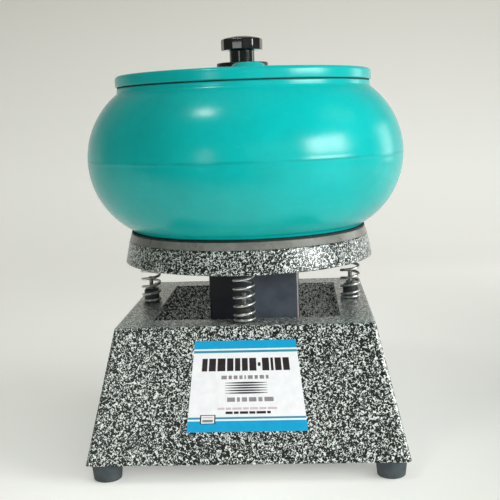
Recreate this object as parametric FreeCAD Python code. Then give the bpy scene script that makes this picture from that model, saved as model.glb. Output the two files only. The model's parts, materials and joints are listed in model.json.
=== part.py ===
"""Vibratory rock tumbler: a bowl and its motor hang together on four coil springs over a sheet-steel base.

Millimetres. +Z is up, -Y is the front, and the origin is on the floor under the middle of the base.
Every function below builds one sub-part, or one group of identical fasteners, and names the node it writes.
"""
import FreeCAD
import Part
import math
import os

from FreeCAD import Vector

os.makedirs("parts", exist_ok=True)

# ---------------------------------------------------------------- driving dimensions
FOOT_HEIGHT = 17.0
FOOT_TOP_RADIUS = 14.25
FOOT_BOTTOM_RADIUS = 12.5
FOOT_INSET = 16.5

BASE_BOTTOM_SIDE = 285.0
BASE_TOP_SIDE = 231.0
BASE_HEIGHT = 117.0
BASE_SHEET = 1.6
BASE_CORNER = 4.0
BASE_LIP = 31.0
OPENING_SIDE = 172.0

SPRING_CIRCLE = 99.5
SPRING_MEAN_RADIUS = 8.8
SPRING_WIRE = 2.7
SPRING_PITCH = 8.0
SEAT_RADIUS = 7.3
SEAT_HEIGHT = 14.4

PAN_BOTTOM_RADIUS = 121.2
PAN_SKIRT_Z = 179.2
PAN_SHOULDER_RADIUS = 116.9
PAN_SHOULDER_Z = 200.4
PAN_TOP_RADIUS = 114.5
PAN_TOP_Z = 207.6
PAN_SHEET = 2.0
MAT_RADIUS = 114.3
MAT_THICKNESS = 1.8

BOWL_RADIUS = 153.0
BOWL_WIDEST_Z = 278.5
BOWL_LOWER_ARC = 77.0
BOWL_UPPER_ARC = 79.0
BOWL_WALL = 6.5
BOWL_FOOT_RADIUS = 113.0
BOWL_NECK_RADIUS = 121.8
BOWL_MOUTH_RADIUS = 112.5
BOWL_RIM_Z = 346.0
COLUMN_TOP_Z = 312.0

LID_RADIUS = 123.1
LID_TOP_Z = 357.5
LID_CROWN_Z = 362.6
LID_PLATE = 5.0
SEAL_THICKNESS = 1.0
LID_BOSS_RADIUS = 15.5
LID_BOSS_X = 8.0
LID_BOSS_Y = -46.0
LID_BOSS_Z = 365.1

WASHER_RADIUS = 24.7
WASHER_TOP_Z = 367.3
KNOB_STEM_RADIUS = 12.0
KNOB_HEAD_Z = 379.2
KNOB_TOP_Z = 392.7
KNOB_RADIUS = 20.0
KNOB_FLATS = 12

ROD_RADIUS = 4.9
ROD_BOTTOM_Z = 191.0
ROD_TOP_Z = 383.0

SHROUD_WIDTH = 85.0
SHROUD_DEPTH = 90.0
SHROUD_CENTRE_X = 6.0
SHROUD_BOTTOM_Z = 56.0
SHROUD_SHEET = 1.6
MOTOR_SIDE = 66.0
MOTOR_BOLT = 28.0
STATOR_Z = (124.0, 166.0)
BELL_DEPTH = 21.0
SHAFT_RADIUS = 5.0
WEIGHT_RADIUS = 32.0
WEIGHT_Z = (62.0, 82.0)

REAR_SWITCH_X = -55.0
REAR_SWITCH_Z = 72.0
REAR_GLAND_X = 62.0
REAR_GLAND_Z = 60.0
GLAND_BORE = 3.6

LABEL_TOP_WIDTH = 88.4
LABEL_BOTTOM_WIDTH = 106.3
LABEL_CENTRE_X = 0.8
LABEL_Z = (44.5, 121.6)
LABEL_THICKNESS = 0.6

# ---------------------------------------------------------------- sizes worked out from them
BASE_TOP_Z = FOOT_HEIGHT + BASE_HEIGHT
WALL_LEAN = math.atan2((BASE_BOTTOM_SIDE - BASE_TOP_SIDE) / 2, BASE_HEIGHT)
FOOT_CENTRE = BASE_BOTTOM_SIDE / 2 - FOOT_INSET
PAN_UNDER_Z = PAN_TOP_Z - PAN_SHEET
BOWL_BOTTOM_Z = PAN_TOP_Z + MAT_THICKNESS
SHROUD_TOP_Z = PAN_UNDER_Z
SHROUD_PLATE_Z = SHROUD_TOP_Z - SHROUD_SHEET
TOP_BELL_Z = STATOR_Z[1] + BELL_DEPTH
BOTTOM_BELL_Z = STATOR_Z[0] - BELL_DEPTH
LID_RIM_Z = BOWL_RIM_Z + SEAL_THICKNESS

ROUND = 360
SPRING_SPOTS = {
    "front": (0.0, -SPRING_CIRCLE),
    "back": (0.0, SPRING_CIRCLE),
    "left": (-SPRING_CIRCLE, 0.0),
    "right": (SPRING_CIRCLE, 0.0),
}
FOOT_SPOTS = {
    "front_left": (-FOOT_CENTRE, -FOOT_CENTRE),
    "front_right": (FOOT_CENTRE, -FOOT_CENTRE),
    "back_left": (-FOOT_CENTRE, FOOT_CENTRE),
    "back_right": (FOOT_CENTRE, FOOT_CENTRE),
}
TIE_BOLT_SPOTS = [(x, y) for x in (-MOTOR_BOLT, MOTOR_BOLT) for y in (-MOTOR_BOLT, MOTOR_BOLT)]


# ---------------------------------------------------------------- shape helpers
def save(node, *solids):
    """Writes one node, from one solid or several separate ones."""
    shape = solids[0] if len(solids) == 1 else Part.makeCompound(list(solids))
    for solid in shape.Solids:
        if not solid.isValid() or solid.Volume <= 0:
            raise ValueError(node + " has a bad solid")
    shape.exportStep("parts/" + node + ".step")


def cylinder(radius, z0, z1, x=0.0, y=0.0):
    return Part.makeCylinder(radius, z1 - z0, Vector(x, y, z0))


def tube(outer, inner, z0, z1, x=0.0, y=0.0):
    return cylinder(outer, z0, z1, x, y).cut(cylinder(inner, z0, z1, x, y))


def box(x0, x1, y0, y1, z0, z1):
    return Part.makeBox(x1 - x0, y1 - y0, z1 - z0, Vector(x0, y0, z0))


def arc(a, middle, b):
    return Part.Arc(a, middle, b).toShape()


def line(a, b):
    return Part.makeLine(a, b)


def profile_solid(edges):
    """Turns a closed outline in the XZ plane about the Z axis."""
    face = Part.Face(Part.Wire(edges))
    return face.revolve(Vector(0, 0, 0), Vector(0, 0, 1), ROUND)


def turned(points):
    """The same for an outline of straight edges, given as (radius, height)."""
    corners = [Vector(r, 0, z) for r, z in points]
    return profile_solid([line(a, b) for a, b in zip(corners, corners[1:] + corners[:1])])


def rounded_rectangle(width, depth, radius, z, x=0.0, y=0.0):
    """A flat closed wire with rounded corners, its straight sides first and last along the front."""
    hx, hy = width / 2, depth / 2
    diagonal = radius * (1 - math.sqrt(0.5))
    corners = [(hx, -hy, 1, -1), (hx, hy, 1, 1), (-hx, hy, -1, 1), (-hx, -hy, -1, -1)]
    starts, middles, ends = [], [], []
    for index, (cx, cy, sx, sy) in enumerate(corners):
        along_x = Vector(x + cx - sx * radius, y + cy, z)
        along_y = Vector(x + cx, y + cy - sy * radius, z)
        middles.append(Vector(x + cx - sx * diagonal, y + cy - sy * diagonal, z))
        first, second = (along_x, along_y) if index % 2 == 0 else (along_y, along_x)
        starts.append(first)
        ends.append(second)
    edges = []
    for index in range(len(corners)):
        edges.append(arc(starts[index], middles[index], ends[index]))
        edges.append(line(ends[index], starts[(index + 1) % len(corners)]))
    return Part.Wire(edges)


def rounded_prism(width, depth, radius, z0, z1, x=0.0, y=0.0):
    wire = rounded_rectangle(width, depth, radius, z0, x, y)
    return Part.Face(wire).extrude(Vector(0, 0, z1 - z0))


def rounded_frustum(side0, side1, radius, z0, z1):
    wires = [rounded_rectangle(side0, side0, radius, z0), rounded_rectangle(side1, side1, radius, z1)]
    return Part.makeLoft(wires, True, True)


def hexagon(across, z0, z1, x=0.0, y=0.0):
    """A hexagonal prism whose corners are chamfered at both ends, as on a rolled nut."""
    reach = across / math.sqrt(3)
    corners = [Vector(x + reach * math.cos(math.radians(a)), y + reach * math.sin(math.radians(a)), z0)
               for a in range(0, ROUND, 60)]
    prism = Part.Face(Part.makePolygon(corners + corners[:1])).extrude(Vector(0, 0, z1 - z0))
    drop = (reach - across / 2) * math.tan(math.radians(30))
    face_radius = across / 2
    barrel = turned([(0, z0), (face_radius, z0), (reach, z0 + drop), (reach, z1 - drop), (face_radius, z1),
                     (0, z1)])
    barrel.translate(Vector(x, y, 0))
    return prism.common(barrel)


def nut(across, bore, z0, z1, x=0.0, y=0.0):
    return hexagon(across, z0, z1, x, y).cut(cylinder(bore, z0, z1, x, y))


def pan_head(radius, height, z, up, x=0.0, y=0.0):
    """A domed screw head whose flat face is at z, standing up or hanging down from it."""
    sign = 1 if up else -1
    edge, top = Vector(radius, 0, z + sign * height * 0.35), Vector(0, 0, z + sign * height)
    shoulder = Vector(radius * 0.75, 0, z + sign * height * 0.85)
    edges = [line(Vector(0, 0, z), Vector(radius, 0, z)), line(Vector(radius, 0, z), edge),
             arc(edge, shoulder, top), line(top, Vector(0, 0, z))]
    head = profile_solid(edges)
    head.translate(Vector(x, y, 0))
    return head


def cross_slot(head_radius, z, depth, up, x=0.0, y=0.0):
    """The cross recess that a driver fits, to be cut out of a head whose top is at z."""
    low, high = (z - depth, z + 1) if up else (z - 1, z + depth)
    reach, half = head_radius * 0.6, head_radius * 0.13
    return box(x - reach, x + reach, y - half, y + half, low, high).fuse(
        box(x - half, x + half, y - reach, y + reach, low, high))


def on_wall(front, x, z):
    """The placement with local Z out of the front or rear wall at that place, and local Y up along it."""
    sign = -1 if front else 1
    y = sign * (BASE_BOTTOM_SIDE / 2 - (z - FOOT_HEIGHT) * math.tan(WALL_LEAN))
    outward = Vector(0, sign * math.cos(WALL_LEAN), math.sin(WALL_LEAN))
    upward = Vector(0, -sign * math.sin(WALL_LEAN), math.cos(WALL_LEAN))
    return FreeCAD.Placement(Vector(x, y, z), FreeCAD.Rotation(upward.cross(outward), upward, outward, "ZYX"))


def put(shape, placement):
    moved = shape.copy()
    moved.Placement = placement.multiply(moved.Placement)
    return moved


# ---------------------------------------------------------------- base
SWITCH_CUTOUT = (27.0, 21.0)
SWITCH_BEZEL = (31.0, 25.0)
SWITCH_RECESS = (25.0, 16.2)
GLAND_THREAD_RADIUS = 7.6
SCREW_HOLE = 2.75
BLOCK_SPOTS = [(43.0, 120.0), (75.0, 120.0)]
CLIP_SPOT = (-20.0, 120.0)
SMALL_SCREW_HOLE = 1.8


def base_housing():
    """Folded sheet: four leaning walls, a top with a square window, and a lip turned in under the walls."""
    side_offset = BASE_SHEET / math.cos(WALL_LEAN)
    slope = math.tan(WALL_LEAN)
    outer = rounded_frustum(BASE_BOTTOM_SIDE, BASE_TOP_SIDE, BASE_CORNER, FOOT_HEIGHT, BASE_TOP_Z)
    top_edges = [e for e in outer.Edges if all(abs(v.Z - BASE_TOP_Z) < 1e-6 for v in e.Vertexes)]
    outer = outer.makeFillet(BASE_SHEET * 1.5, top_edges)
    low, high = FOOT_HEIGHT + BASE_SHEET, BASE_TOP_Z - BASE_SHEET
    inner = rounded_frustum(
        BASE_BOTTOM_SIDE - 2 * (side_offset + BASE_SHEET * slope),
        BASE_TOP_SIDE - 2 * (side_offset - BASE_SHEET * slope),
        BASE_CORNER - BASE_SHEET, low, high)
    shell = outer.cut(inner)
    lip_hole = BASE_BOTTOM_SIDE - 2 * BASE_LIP
    shell = shell.cut(rounded_prism(lip_hole, lip_hole, 12.0, FOOT_HEIGHT - 1, low + 1))
    shell = shell.cut(rounded_prism(OPENING_SIDE, OPENING_SIDE, 1.5, high - 1, BASE_TOP_Z + 1))
    for x, y in SPRING_SPOTS.values():
        shell = shell.cut(cylinder(SCREW_HOLE, high - 1, BASE_TOP_Z + 1, x, y))
    for x, y in BLOCK_SPOTS + [CLIP_SPOT]:
        shell = shell.cut(cylinder(SMALL_SCREW_HOLE, FOOT_HEIGHT - 1, low + 1, x, y))
    for x, y in FOOT_SPOTS.values():
        shell = shell.cut(cylinder(SCREW_HOLE, FOOT_HEIGHT - 1, low + 1, x, y))
    width, height = SWITCH_CUTOUT
    window = box(-width / 2, width / 2, -height / 2, height / 2, -9, 9)
    shell = shell.cut(put(window, on_wall(False, REAR_SWITCH_X, REAR_SWITCH_Z)))
    hole = cylinder(GLAND_THREAD_RADIUS + 0.1, -9, 9)
    shell = shell.cut(put(hole, on_wall(False, REAR_GLAND_X, REAR_GLAND_Z)))
    save("base_housing", shell)


def type_label():
    """A thin trapezoid label on the front wall."""
    z0, z1 = LABEL_Z
    middle = (z0 + z1) / 2
    half = (z1 - z0) / 2 / math.cos(WALL_LEAN)
    top, bottom = LABEL_TOP_WIDTH / 2, LABEL_BOTTOM_WIDTH / 2
    corners = [Vector(-bottom, -half, 0), Vector(bottom, -half, 0), Vector(top, half, 0),
               Vector(-top, half, 0)]
    plate = Part.Face(Part.makePolygon(corners + corners[:1])).extrude(Vector(0, 0, LABEL_THICKNESS))
    save("type_label", put(plate, on_wall(True, LABEL_CENTRE_X, middle)))


FOOT_RECESS_RADIUS = 6.0
FOOT_RECESS = 9.0
FOOT_SCREW_RADIUS = 2.5
FOOT_SCREW_TOP = 27.0
WASHER_THICKNESS = 1.0


def rubber_feet():
    """Four tapered feet, each with a recess underneath for its screw."""
    for name, (x, y) in FOOT_SPOTS.items():
        foot = turned([(0, 0), (FOOT_BOTTOM_RADIUS - 1, 0), (FOOT_BOTTOM_RADIUS, 1),
                       (FOOT_TOP_RADIUS, FOOT_HEIGHT), (0, FOOT_HEIGHT)])
        foot = foot.cut(cylinder(FOOT_RECESS_RADIUS, -1, FOOT_RECESS))
        foot = foot.cut(cylinder(FOOT_SCREW_RADIUS + 0.1, 0, FOOT_HEIGHT + 1))
        foot.translate(Vector(x, y, 0))
        save("foot_" + name, foot)


def foot_fasteners():
    screws, washers, nuts = [], [], []
    lip_top = FOOT_HEIGHT + BASE_SHEET
    for x, y in FOOT_SPOTS.values():
        shank = cylinder(FOOT_SCREW_RADIUS, FOOT_RECESS, FOOT_SCREW_TOP, x, y)
        head = pan_head(4.6, 3.2, FOOT_RECESS, False, x, y)
        head = head.cut(cross_slot(4.6, FOOT_RECESS - 3.2, 1.6, False, x, y))
        screws.append(shank.fuse(head))
        washers.append(tube(5.5, SCREW_HOLE, lip_top, lip_top + WASHER_THICKNESS, x, y))
        nut_z = lip_top + WASHER_THICKNESS
        nuts.append(nut(8.0, FOOT_SCREW_RADIUS + 0.05, nut_z, nut_z + 4.0, x, y))
    save("foot_screws", *screws)
    save("foot_washers", *washers)
    save("foot_nuts", *nuts)


# ---------------------------------------------------------------- springs and their seats
def springs():
    """Closed-end coil springs between the base's top and the underside of the pan."""
    wire = SPRING_WIRE / 2
    low, high = BASE_TOP_Z + wire, PAN_UNDER_Z - wire
    closed = SPRING_WIRE * 1.08
    rise = high - low - 2 * closed
    turns = round(rise / SPRING_PITCH)
    pieces = [Part.makeHelix(closed, closed, SPRING_MEAN_RADIUS),
              Part.makeHelix(rise / turns, rise, SPRING_MEAN_RADIUS),
              Part.makeHelix(closed, closed, SPRING_MEAN_RADIUS)]
    for piece, z in zip(pieces, (low, low + closed, high - closed)):
        piece.translate(Vector(0, 0, z))
    path = Part.Wire([edge for piece in pieces for edge in piece.Edges])
    section = Part.Wire(Part.makeCircle(wire, Vector(SPRING_MEAN_RADIUS, 0, low), Vector(0, 1, closed / 55)))
    coil = path.makePipeShell([section], True, True)
    for name, (x, y) in SPRING_SPOTS.items():
        one = coil.copy()
        one.rotate(Vector(0, 0, 0), Vector(0, 0, 1), math.degrees(math.atan2(-y, -x)))
        one.translate(Vector(x, y, 0))
        save("spring_" + name, one)
    return coil


SEAT_SCREW_RADIUS = 2.0


def seat(z0, z1, narrow_up):
    """A plug that fills the end of a spring, with a chamfer at its free end and a screw hole."""
    chamfer = 1.5
    if narrow_up:
        outline = [(0, z0), (SEAT_RADIUS, z0), (SEAT_RADIUS, z1 - chamfer),
                   (SEAT_RADIUS - chamfer, z1), (0, z1)]
    else:
        outline = [(0, z0), (SEAT_RADIUS - chamfer, z0), (SEAT_RADIUS, z0 + chamfer),
                   (SEAT_RADIUS, z1), (0, z1)]
    return turned(outline).cut(cylinder(SEAT_SCREW_RADIUS + 0.1, z0 - 1, z1 + 1))


LOWER_SEAT_TOP = BASE_TOP_Z + SEAT_HEIGHT
UPPER_SEAT_BOTTOM = PAN_UNDER_Z - SEAT_HEIGHT
LOWER_SCREW_TOP = LOWER_SEAT_TOP + 12.0
UPPER_SCREW_BOTTOM = UPPER_SEAT_BOTTOM - 8.5
SEAT_NUT_ACROSS = 7.0
SEAT_NUT = 2.2
SEAT_WASHER = 0.8
HEAD_RADIUS = 4.6
HEAD_HEIGHT = 1.5
HEAD_RECESS = 0.8


def spring_seats():
    """The plugs inside each spring's two ends, and the screw, washer and nut that hold each plug."""
    under = BASE_TOP_Z - BASE_SHEET
    lower, upper = [], []
    hardware = {"lower": ([], [], []), "upper": ([], [], [])}
    for x, y in SPRING_SPOTS.values():
        for level, plugs, plug in (("lower", lower, seat(BASE_TOP_Z, LOWER_SEAT_TOP, True)),
                                   ("upper", upper, seat(UPPER_SEAT_BOTTOM, PAN_UNDER_Z, False))):
            plug.translate(Vector(x, y, 0))
            plugs.append(plug)
        screws, washers, nuts = hardware["lower"]
        head = pan_head(HEAD_RADIUS, HEAD_HEIGHT, under, False, x, y)
        head = head.cut(cross_slot(HEAD_RADIUS, under - HEAD_HEIGHT, HEAD_RECESS, False, x, y))
        screws.append(cylinder(SEAT_SCREW_RADIUS, under, LOWER_SCREW_TOP, x, y).fuse(head))
        z = LOWER_SEAT_TOP + SEAT_WASHER
        washers.append(tube(4.5, SEAT_SCREW_RADIUS + 0.2, LOWER_SEAT_TOP, z, x, y))
        nuts.append(nut(SEAT_NUT_ACROSS, SEAT_SCREW_RADIUS + 0.05, z, z + SEAT_NUT, x, y))
        screws, washers, nuts = hardware["upper"]
        head = pan_head(HEAD_RADIUS, HEAD_HEIGHT, PAN_TOP_Z, True, x, y)
        head = head.cut(cross_slot(HEAD_RADIUS, PAN_TOP_Z + HEAD_HEIGHT, HEAD_RECESS, True, x, y))
        screws.append(cylinder(SEAT_SCREW_RADIUS, UPPER_SCREW_BOTTOM, PAN_TOP_Z, x, y).fuse(head))
        z = UPPER_SEAT_BOTTOM - SEAT_WASHER
        washers.append(tube(4.5, SEAT_SCREW_RADIUS + 0.2, z, UPPER_SEAT_BOTTOM, x, y))
        nuts.append(nut(SEAT_NUT_ACROSS, SEAT_SCREW_RADIUS + 0.05, z - SEAT_NUT, z, x, y))
    save("spring_seats_lower", *lower)
    save("spring_seats_upper", *upper)
    for level, (screws, washers, nuts) in hardware.items():
        save("seat_screws_" + level, *screws)
        save("seat_washers_" + level, *washers)
        save("seat_nuts_" + level, *nuts)


# ---------------------------------------------------------------- vibrating pan
def pan():
    """A spun steel tray, upside down: a flat top, a bevelled shoulder and a skirt that flares a little."""
    sheet = PAN_SHEET
    shoulder_lean = math.atan2(PAN_SHOULDER_RADIUS - PAN_TOP_RADIUS, PAN_TOP_Z - PAN_SHOULDER_Z)
    skirt_lean = math.atan2(PAN_BOTTOM_RADIUS - PAN_SHOULDER_RADIUS, PAN_SHOULDER_Z - PAN_SKIRT_Z)
    inner_top = PAN_TOP_RADIUS - sheet / math.cos(shoulder_lean) + sheet * math.tan(shoulder_lean)
    inner_shoulder = PAN_SHOULDER_RADIUS - sheet / math.cos((shoulder_lean + skirt_lean) / 2)
    inner_bottom = PAN_BOTTOM_RADIUS - sheet / math.cos(skirt_lean)
    body = turned([(0, PAN_TOP_Z), (PAN_TOP_RADIUS, PAN_TOP_Z), (PAN_SHOULDER_RADIUS, PAN_SHOULDER_Z),
                   (PAN_BOTTOM_RADIUS, PAN_SKIRT_Z), (inner_bottom, PAN_SKIRT_Z),
                   (inner_shoulder, PAN_SHOULDER_Z), (inner_top, PAN_UNDER_Z), (0, PAN_UNDER_Z)])
    skirt_edge = [e for e in body.Edges
                  if abs(e.BoundBox.ZMax - PAN_SKIRT_Z) < 1e-4 and e.BoundBox.XMax > PAN_BOTTOM_RADIUS - 0.5]
    body = body.makeFillet(1.2, skirt_edge)
    body = body.cut(cylinder(ROD_RADIUS + 0.3, PAN_UNDER_Z - 1, PAN_TOP_Z + 1))
    for x, y in SPRING_SPOTS.values():
        body = body.cut(cylinder(SCREW_HOLE, PAN_UNDER_Z - 1, PAN_TOP_Z + 1, x, y))
    for x, y in TIE_BOLT_SPOTS:
        body = body.cut(cylinder(TIE_BOLT_RADIUS + 0.2, PAN_UNDER_Z - 1, PAN_TOP_Z + 1, x, y))
    save("pan", body)


MAT_HOLE = 46.0
HEAD_HOLE = 6.0


def pan_mat():
    """The rubber ring between the pan and the bowl, with holes for the spring screws' heads."""
    mat = tube(MAT_RADIUS, MAT_HOLE, PAN_TOP_Z, BOWL_BOTTOM_Z)
    for x, y in SPRING_SPOTS.values():
        mat = mat.cut(cylinder(HEAD_HOLE, PAN_TOP_Z - 1, BOWL_BOTTOM_Z + 1, x, y))
    save("pan_mat", mat)


# ---------------------------------------------------------------- bowl and lid
def circle_point(centre_r, radius, z):
    """The point of a vertical circle about the bowl's widest level, on the side away from the axis."""
    return Vector(centre_r + math.sqrt(radius ** 2 - (z - BOWL_WIDEST_Z) ** 2), 0, z)


def bowl():
    """A moulded ring-shaped bowl: a round channel about a hollow column that the rod passes through."""
    low_centre, high_centre = BOWL_RADIUS - BOWL_LOWER_ARC, BOWL_RADIUS - BOWL_UPPER_ARC
    inner_low, inner_high = BOWL_LOWER_ARC - BOWL_WALL, BOWL_UPPER_ARC - BOWL_WALL
    foot_z = BOWL_WIDEST_Z - math.sqrt(BOWL_LOWER_ARC ** 2 - (BOWL_FOOT_RADIUS + 0.4 - low_centre) ** 2)
    floor_z = BOWL_BOTTOM_Z + BOWL_WALL
    shoulder_z = BOWL_WIDEST_Z + math.sqrt(BOWL_UPPER_ARC ** 2 - (BOWL_NECK_RADIUS - high_centre) ** 2)
    inner_neck_z = BOWL_WIDEST_Z + math.sqrt(inner_high ** 2 - (BOWL_MOUTH_RADIUS - high_centre) ** 2)

    def outer_low(z):
        return circle_point(low_centre, BOWL_LOWER_ARC, z)

    def inner_wall(z):
        return circle_point(low_centre, inner_low, z)

    widest = Vector(BOWL_RADIUS, 0, BOWL_WIDEST_Z)
    inner_widest = Vector(BOWL_RADIUS - BOWL_WALL, 0, BOWL_WIDEST_Z)
    foot = outer_low(foot_z)
    foot_side = Vector(BOWL_FOOT_RADIUS, 0, BOWL_BOTTOM_Z + 1.2)
    foot_round = Vector(BOWL_FOOT_RADIUS - 0.35, 0, BOWL_BOTTOM_Z + 0.35)
    foot_flat = Vector(BOWL_FOOT_RADIUS - 1.2, 0, BOWL_BOTTOM_Z)
    shoulder = Vector(BOWL_NECK_RADIUS, 0, shoulder_z)
    rim_out = Vector(BOWL_NECK_RADIUS, 0, BOWL_RIM_Z)
    rim_in = Vector(BOWL_MOUTH_RADIUS, 0, BOWL_RIM_Z)
    inner_neck = Vector(BOWL_MOUTH_RADIUS, 0, inner_neck_z)
    floor_out = inner_wall(floor_z)
    column_foot = Vector(66.0, 0, floor_z)
    column_bend = Vector(50.5, 0, floor_z + 7.5)
    column_side = Vector(43.5, 0, floor_z + 23.0)
    column_top = Vector(25.0, 0, COLUMN_TOP_Z - 5.0)
    column_round = Vector(22.6, 0, COLUMN_TOP_Z - 1.4)
    column_flat = Vector(19.0, 0, COLUMN_TOP_Z)
    bore = ROD_RADIUS + 0.7
    bore_top, bore_bottom = Vector(bore, 0, COLUMN_TOP_Z), Vector(bore, 0, COLUMN_TOP_Z - 9.0)
    cavity_top = Vector(15.5, 0, COLUMN_TOP_Z - 9.0)
    cavity_foot = Vector(50.0, 0, BOWL_BOTTOM_Z)
    edges = [
        line(cavity_foot, foot_flat),
        arc(foot_flat, foot_round, foot_side),
        line(foot_side, foot),
        arc(foot, outer_low((foot_z + BOWL_WIDEST_Z) / 2), widest),
        arc(widest, circle_point(high_centre, BOWL_UPPER_ARC, (BOWL_WIDEST_Z + shoulder_z) / 2), shoulder),
        line(shoulder, rim_out),
        line(rim_out, rim_in),
        line(rim_in, inner_neck),
        arc(inner_neck, circle_point(high_centre, inner_high, (BOWL_WIDEST_Z + inner_neck_z) / 2),
            inner_widest),
        arc(inner_widest, inner_wall((floor_z + BOWL_WIDEST_Z) / 2), floor_out),
        line(floor_out, column_foot),
        arc(column_foot, column_bend, column_side),
        line(column_side, column_top),
        arc(column_top, column_round, column_flat),
        line(column_flat, bore_top),
        line(bore_top, bore_bottom),
        line(bore_bottom, cavity_top),
        line(cavity_top, cavity_foot),
    ]
    save("bowl", profile_solid(edges))


SPIGOT_RADIUS = 110.5
SPIGOT_WALL = 4.0
SPIGOT_DEPTH = 8.0


def lid():
    """A crowned lid with a centring ring below and a low moulded boss in front of the clamp washer."""
    edge = 3.0
    flat = WASHER_RADIUS + 2.5
    skin_drop = LID_CROWN_Z - LID_TOP_Z
    rim_in = LID_RADIUS - edge
    under_z = LID_TOP_Z - LID_PLATE

    def crown(r, base_z):
        share = (r - flat) / (rim_in - flat)
        return Vector(r, 0, base_z + skin_drop * (1 - share ** 1.15))

    spigot_in = SPIGOT_RADIUS - SPIGOT_WALL
    spigot_z = LID_RIM_Z - SPIGOT_DEPTH
    bore = ROD_RADIUS + 0.7
    top_flat, under_flat = Vector(flat, 0, LID_CROWN_Z), Vector(flat, 0, LID_CROWN_Z - LID_PLATE)
    top_rim = Vector(rim_in, 0, LID_TOP_Z)
    edge_middle = Vector(LID_RADIUS - edge * (1 - math.sqrt(0.5)), 0, LID_TOP_Z - edge * (1 - math.sqrt(0.5)))
    edge_low = Vector(LID_RADIUS, 0, LID_TOP_Z - edge)
    rim_low, rim_inner = Vector(LID_RADIUS, 0, LID_RIM_Z), Vector(SPIGOT_RADIUS, 0, LID_RIM_Z)
    spigot_low, spigot_low_in = Vector(SPIGOT_RADIUS, 0, spigot_z), Vector(spigot_in, 0, spigot_z)
    spigot_top = crown(spigot_in, under_z)
    bore_top, bore_low = Vector(bore, 0, LID_CROWN_Z), Vector(bore, 0, LID_CROWN_Z - LID_PLATE)
    middle = (flat + rim_in) / 2
    edges = [
        line(bore_low, bore_top),
        line(bore_top, top_flat),
        arc(top_flat, crown(middle, LID_TOP_Z), top_rim),
        arc(top_rim, edge_middle, edge_low),
        line(edge_low, rim_low),
        line(rim_low, rim_inner),
        line(rim_inner, spigot_low),
        line(spigot_low, spigot_low_in),
        line(spigot_low_in, spigot_top),
        arc(spigot_top, crown((flat + spigot_in) / 2, under_z), under_flat),
        line(under_flat, bore_low),
    ]
    boss = turned([(0, LID_TOP_Z - 2), (LID_BOSS_RADIUS, LID_TOP_Z - 2), (LID_BOSS_RADIUS, LID_BOSS_Z - 3.2),
                   (LID_BOSS_RADIUS - 2.6, LID_BOSS_Z - 1.2), (LID_BOSS_RADIUS - 6.5, LID_BOSS_Z),
                   (0, LID_BOSS_Z)])
    boss.translate(Vector(LID_BOSS_X, LID_BOSS_Y, 0))
    save("lid", profile_solid(edges).fuse(boss).removeSplitter())
    save("lid_seal", tube(LID_RADIUS - 2.0, BOWL_MOUTH_RADIUS + 0.5, BOWL_RIM_Z, LID_RIM_Z))


def clamp_washer():
    """The thick black washer under the knob."""
    chamfer = 1.0
    bore = ROD_RADIUS + 0.7
    ring = turned([(bore, LID_CROWN_Z), (WASHER_RADIUS, LID_CROWN_Z), (WASHER_RADIUS, WASHER_TOP_Z - chamfer),
                   (WASHER_RADIUS - chamfer, WASHER_TOP_Z), (bore, WASHER_TOP_Z)])
    save("clamp_washer", ring)


KNOB_GAP = 0.2
INSERT_RADIUS = 8.0
INSERT_Z = (WASHER_TOP_Z + 2.0, WASHER_TOP_Z + 16.0)


def knob():
    """A twelve-sided hand knob with a low domed top on a round stem, moulded round a brass insert."""
    low = WASHER_TOP_Z + KNOB_GAP
    corners = []
    for index in range(KNOB_FLATS):
        angle = math.radians(5.2) - math.pi / 2 + 2 * math.pi * index / KNOB_FLATS
        corners.append(Vector(KNOB_RADIUS * math.cos(angle), KNOB_RADIUS * math.sin(angle), KNOB_HEAD_Z))
    prism = Part.Face(Part.makePolygon(corners + corners[:1])).extrude(Vector(0, 0, KNOB_TOP_Z - KNOB_HEAD_Z))
    dome = turned([(0, KNOB_HEAD_Z), (KNOB_RADIUS - 0.5, KNOB_HEAD_Z), (KNOB_RADIUS + 0.3, KNOB_HEAD_Z + 0.8),
                   (KNOB_RADIUS + 0.3, KNOB_TOP_Z - 4.0), (KNOB_RADIUS - 1.6, KNOB_TOP_Z - 2.6),
                   (KNOB_RADIUS - 9.0, KNOB_TOP_Z - 0.8), (0, KNOB_TOP_Z)])
    head = prism.common(dome)
    body = head.fuse(cylinder(KNOB_STEM_RADIUS, low, KNOB_HEAD_Z))
    body = body.cut(cylinder(INSERT_RADIUS, *INSERT_Z))
    body = body.cut(cylinder(ROD_RADIUS + 0.5, low - 1, ROD_TOP_Z + 2))
    save("knob", body)
    save("knob_insert", tube(INSERT_RADIUS, ROD_RADIUS + 0.25, *INSERT_Z))


ROD_NUT = 8.0
ROD_NUT_ACROSS = 17.0
ROD_WASHER = 1.6


def centre_rod():
    """The stud that holds the bowl and the lid, with two nuts on the pan and one on the bowl's column."""
    end = 1.2
    rod = turned([(0, ROD_BOTTOM_Z), (ROD_RADIUS - end, ROD_BOTTOM_Z), (ROD_RADIUS, ROD_BOTTOM_Z + end),
                  (ROD_RADIUS, ROD_TOP_Z - end), (ROD_RADIUS - end, ROD_TOP_Z), (0, ROD_TOP_Z)])
    save("centre_rod", rod)
    bore = ROD_RADIUS + 0.1
    washer_top = PAN_TOP_Z + ROD_WASHER
    save("rod_washer", tube(12.0, bore + 0.2, PAN_TOP_Z, washer_top))
    bowl_washer_top = COLUMN_TOP_Z + 2.0
    save("bowl_washer", tube(16.0, ROD_RADIUS + 0.5, COLUMN_TOP_Z, bowl_washer_top))
    seats = (SHROUD_PLATE_Z - ROD_NUT, washer_top, bowl_washer_top)
    save("rod_nuts", *[nut(ROD_NUT_ACROSS, bore, z, z + ROD_NUT) for z in seats])


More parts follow.
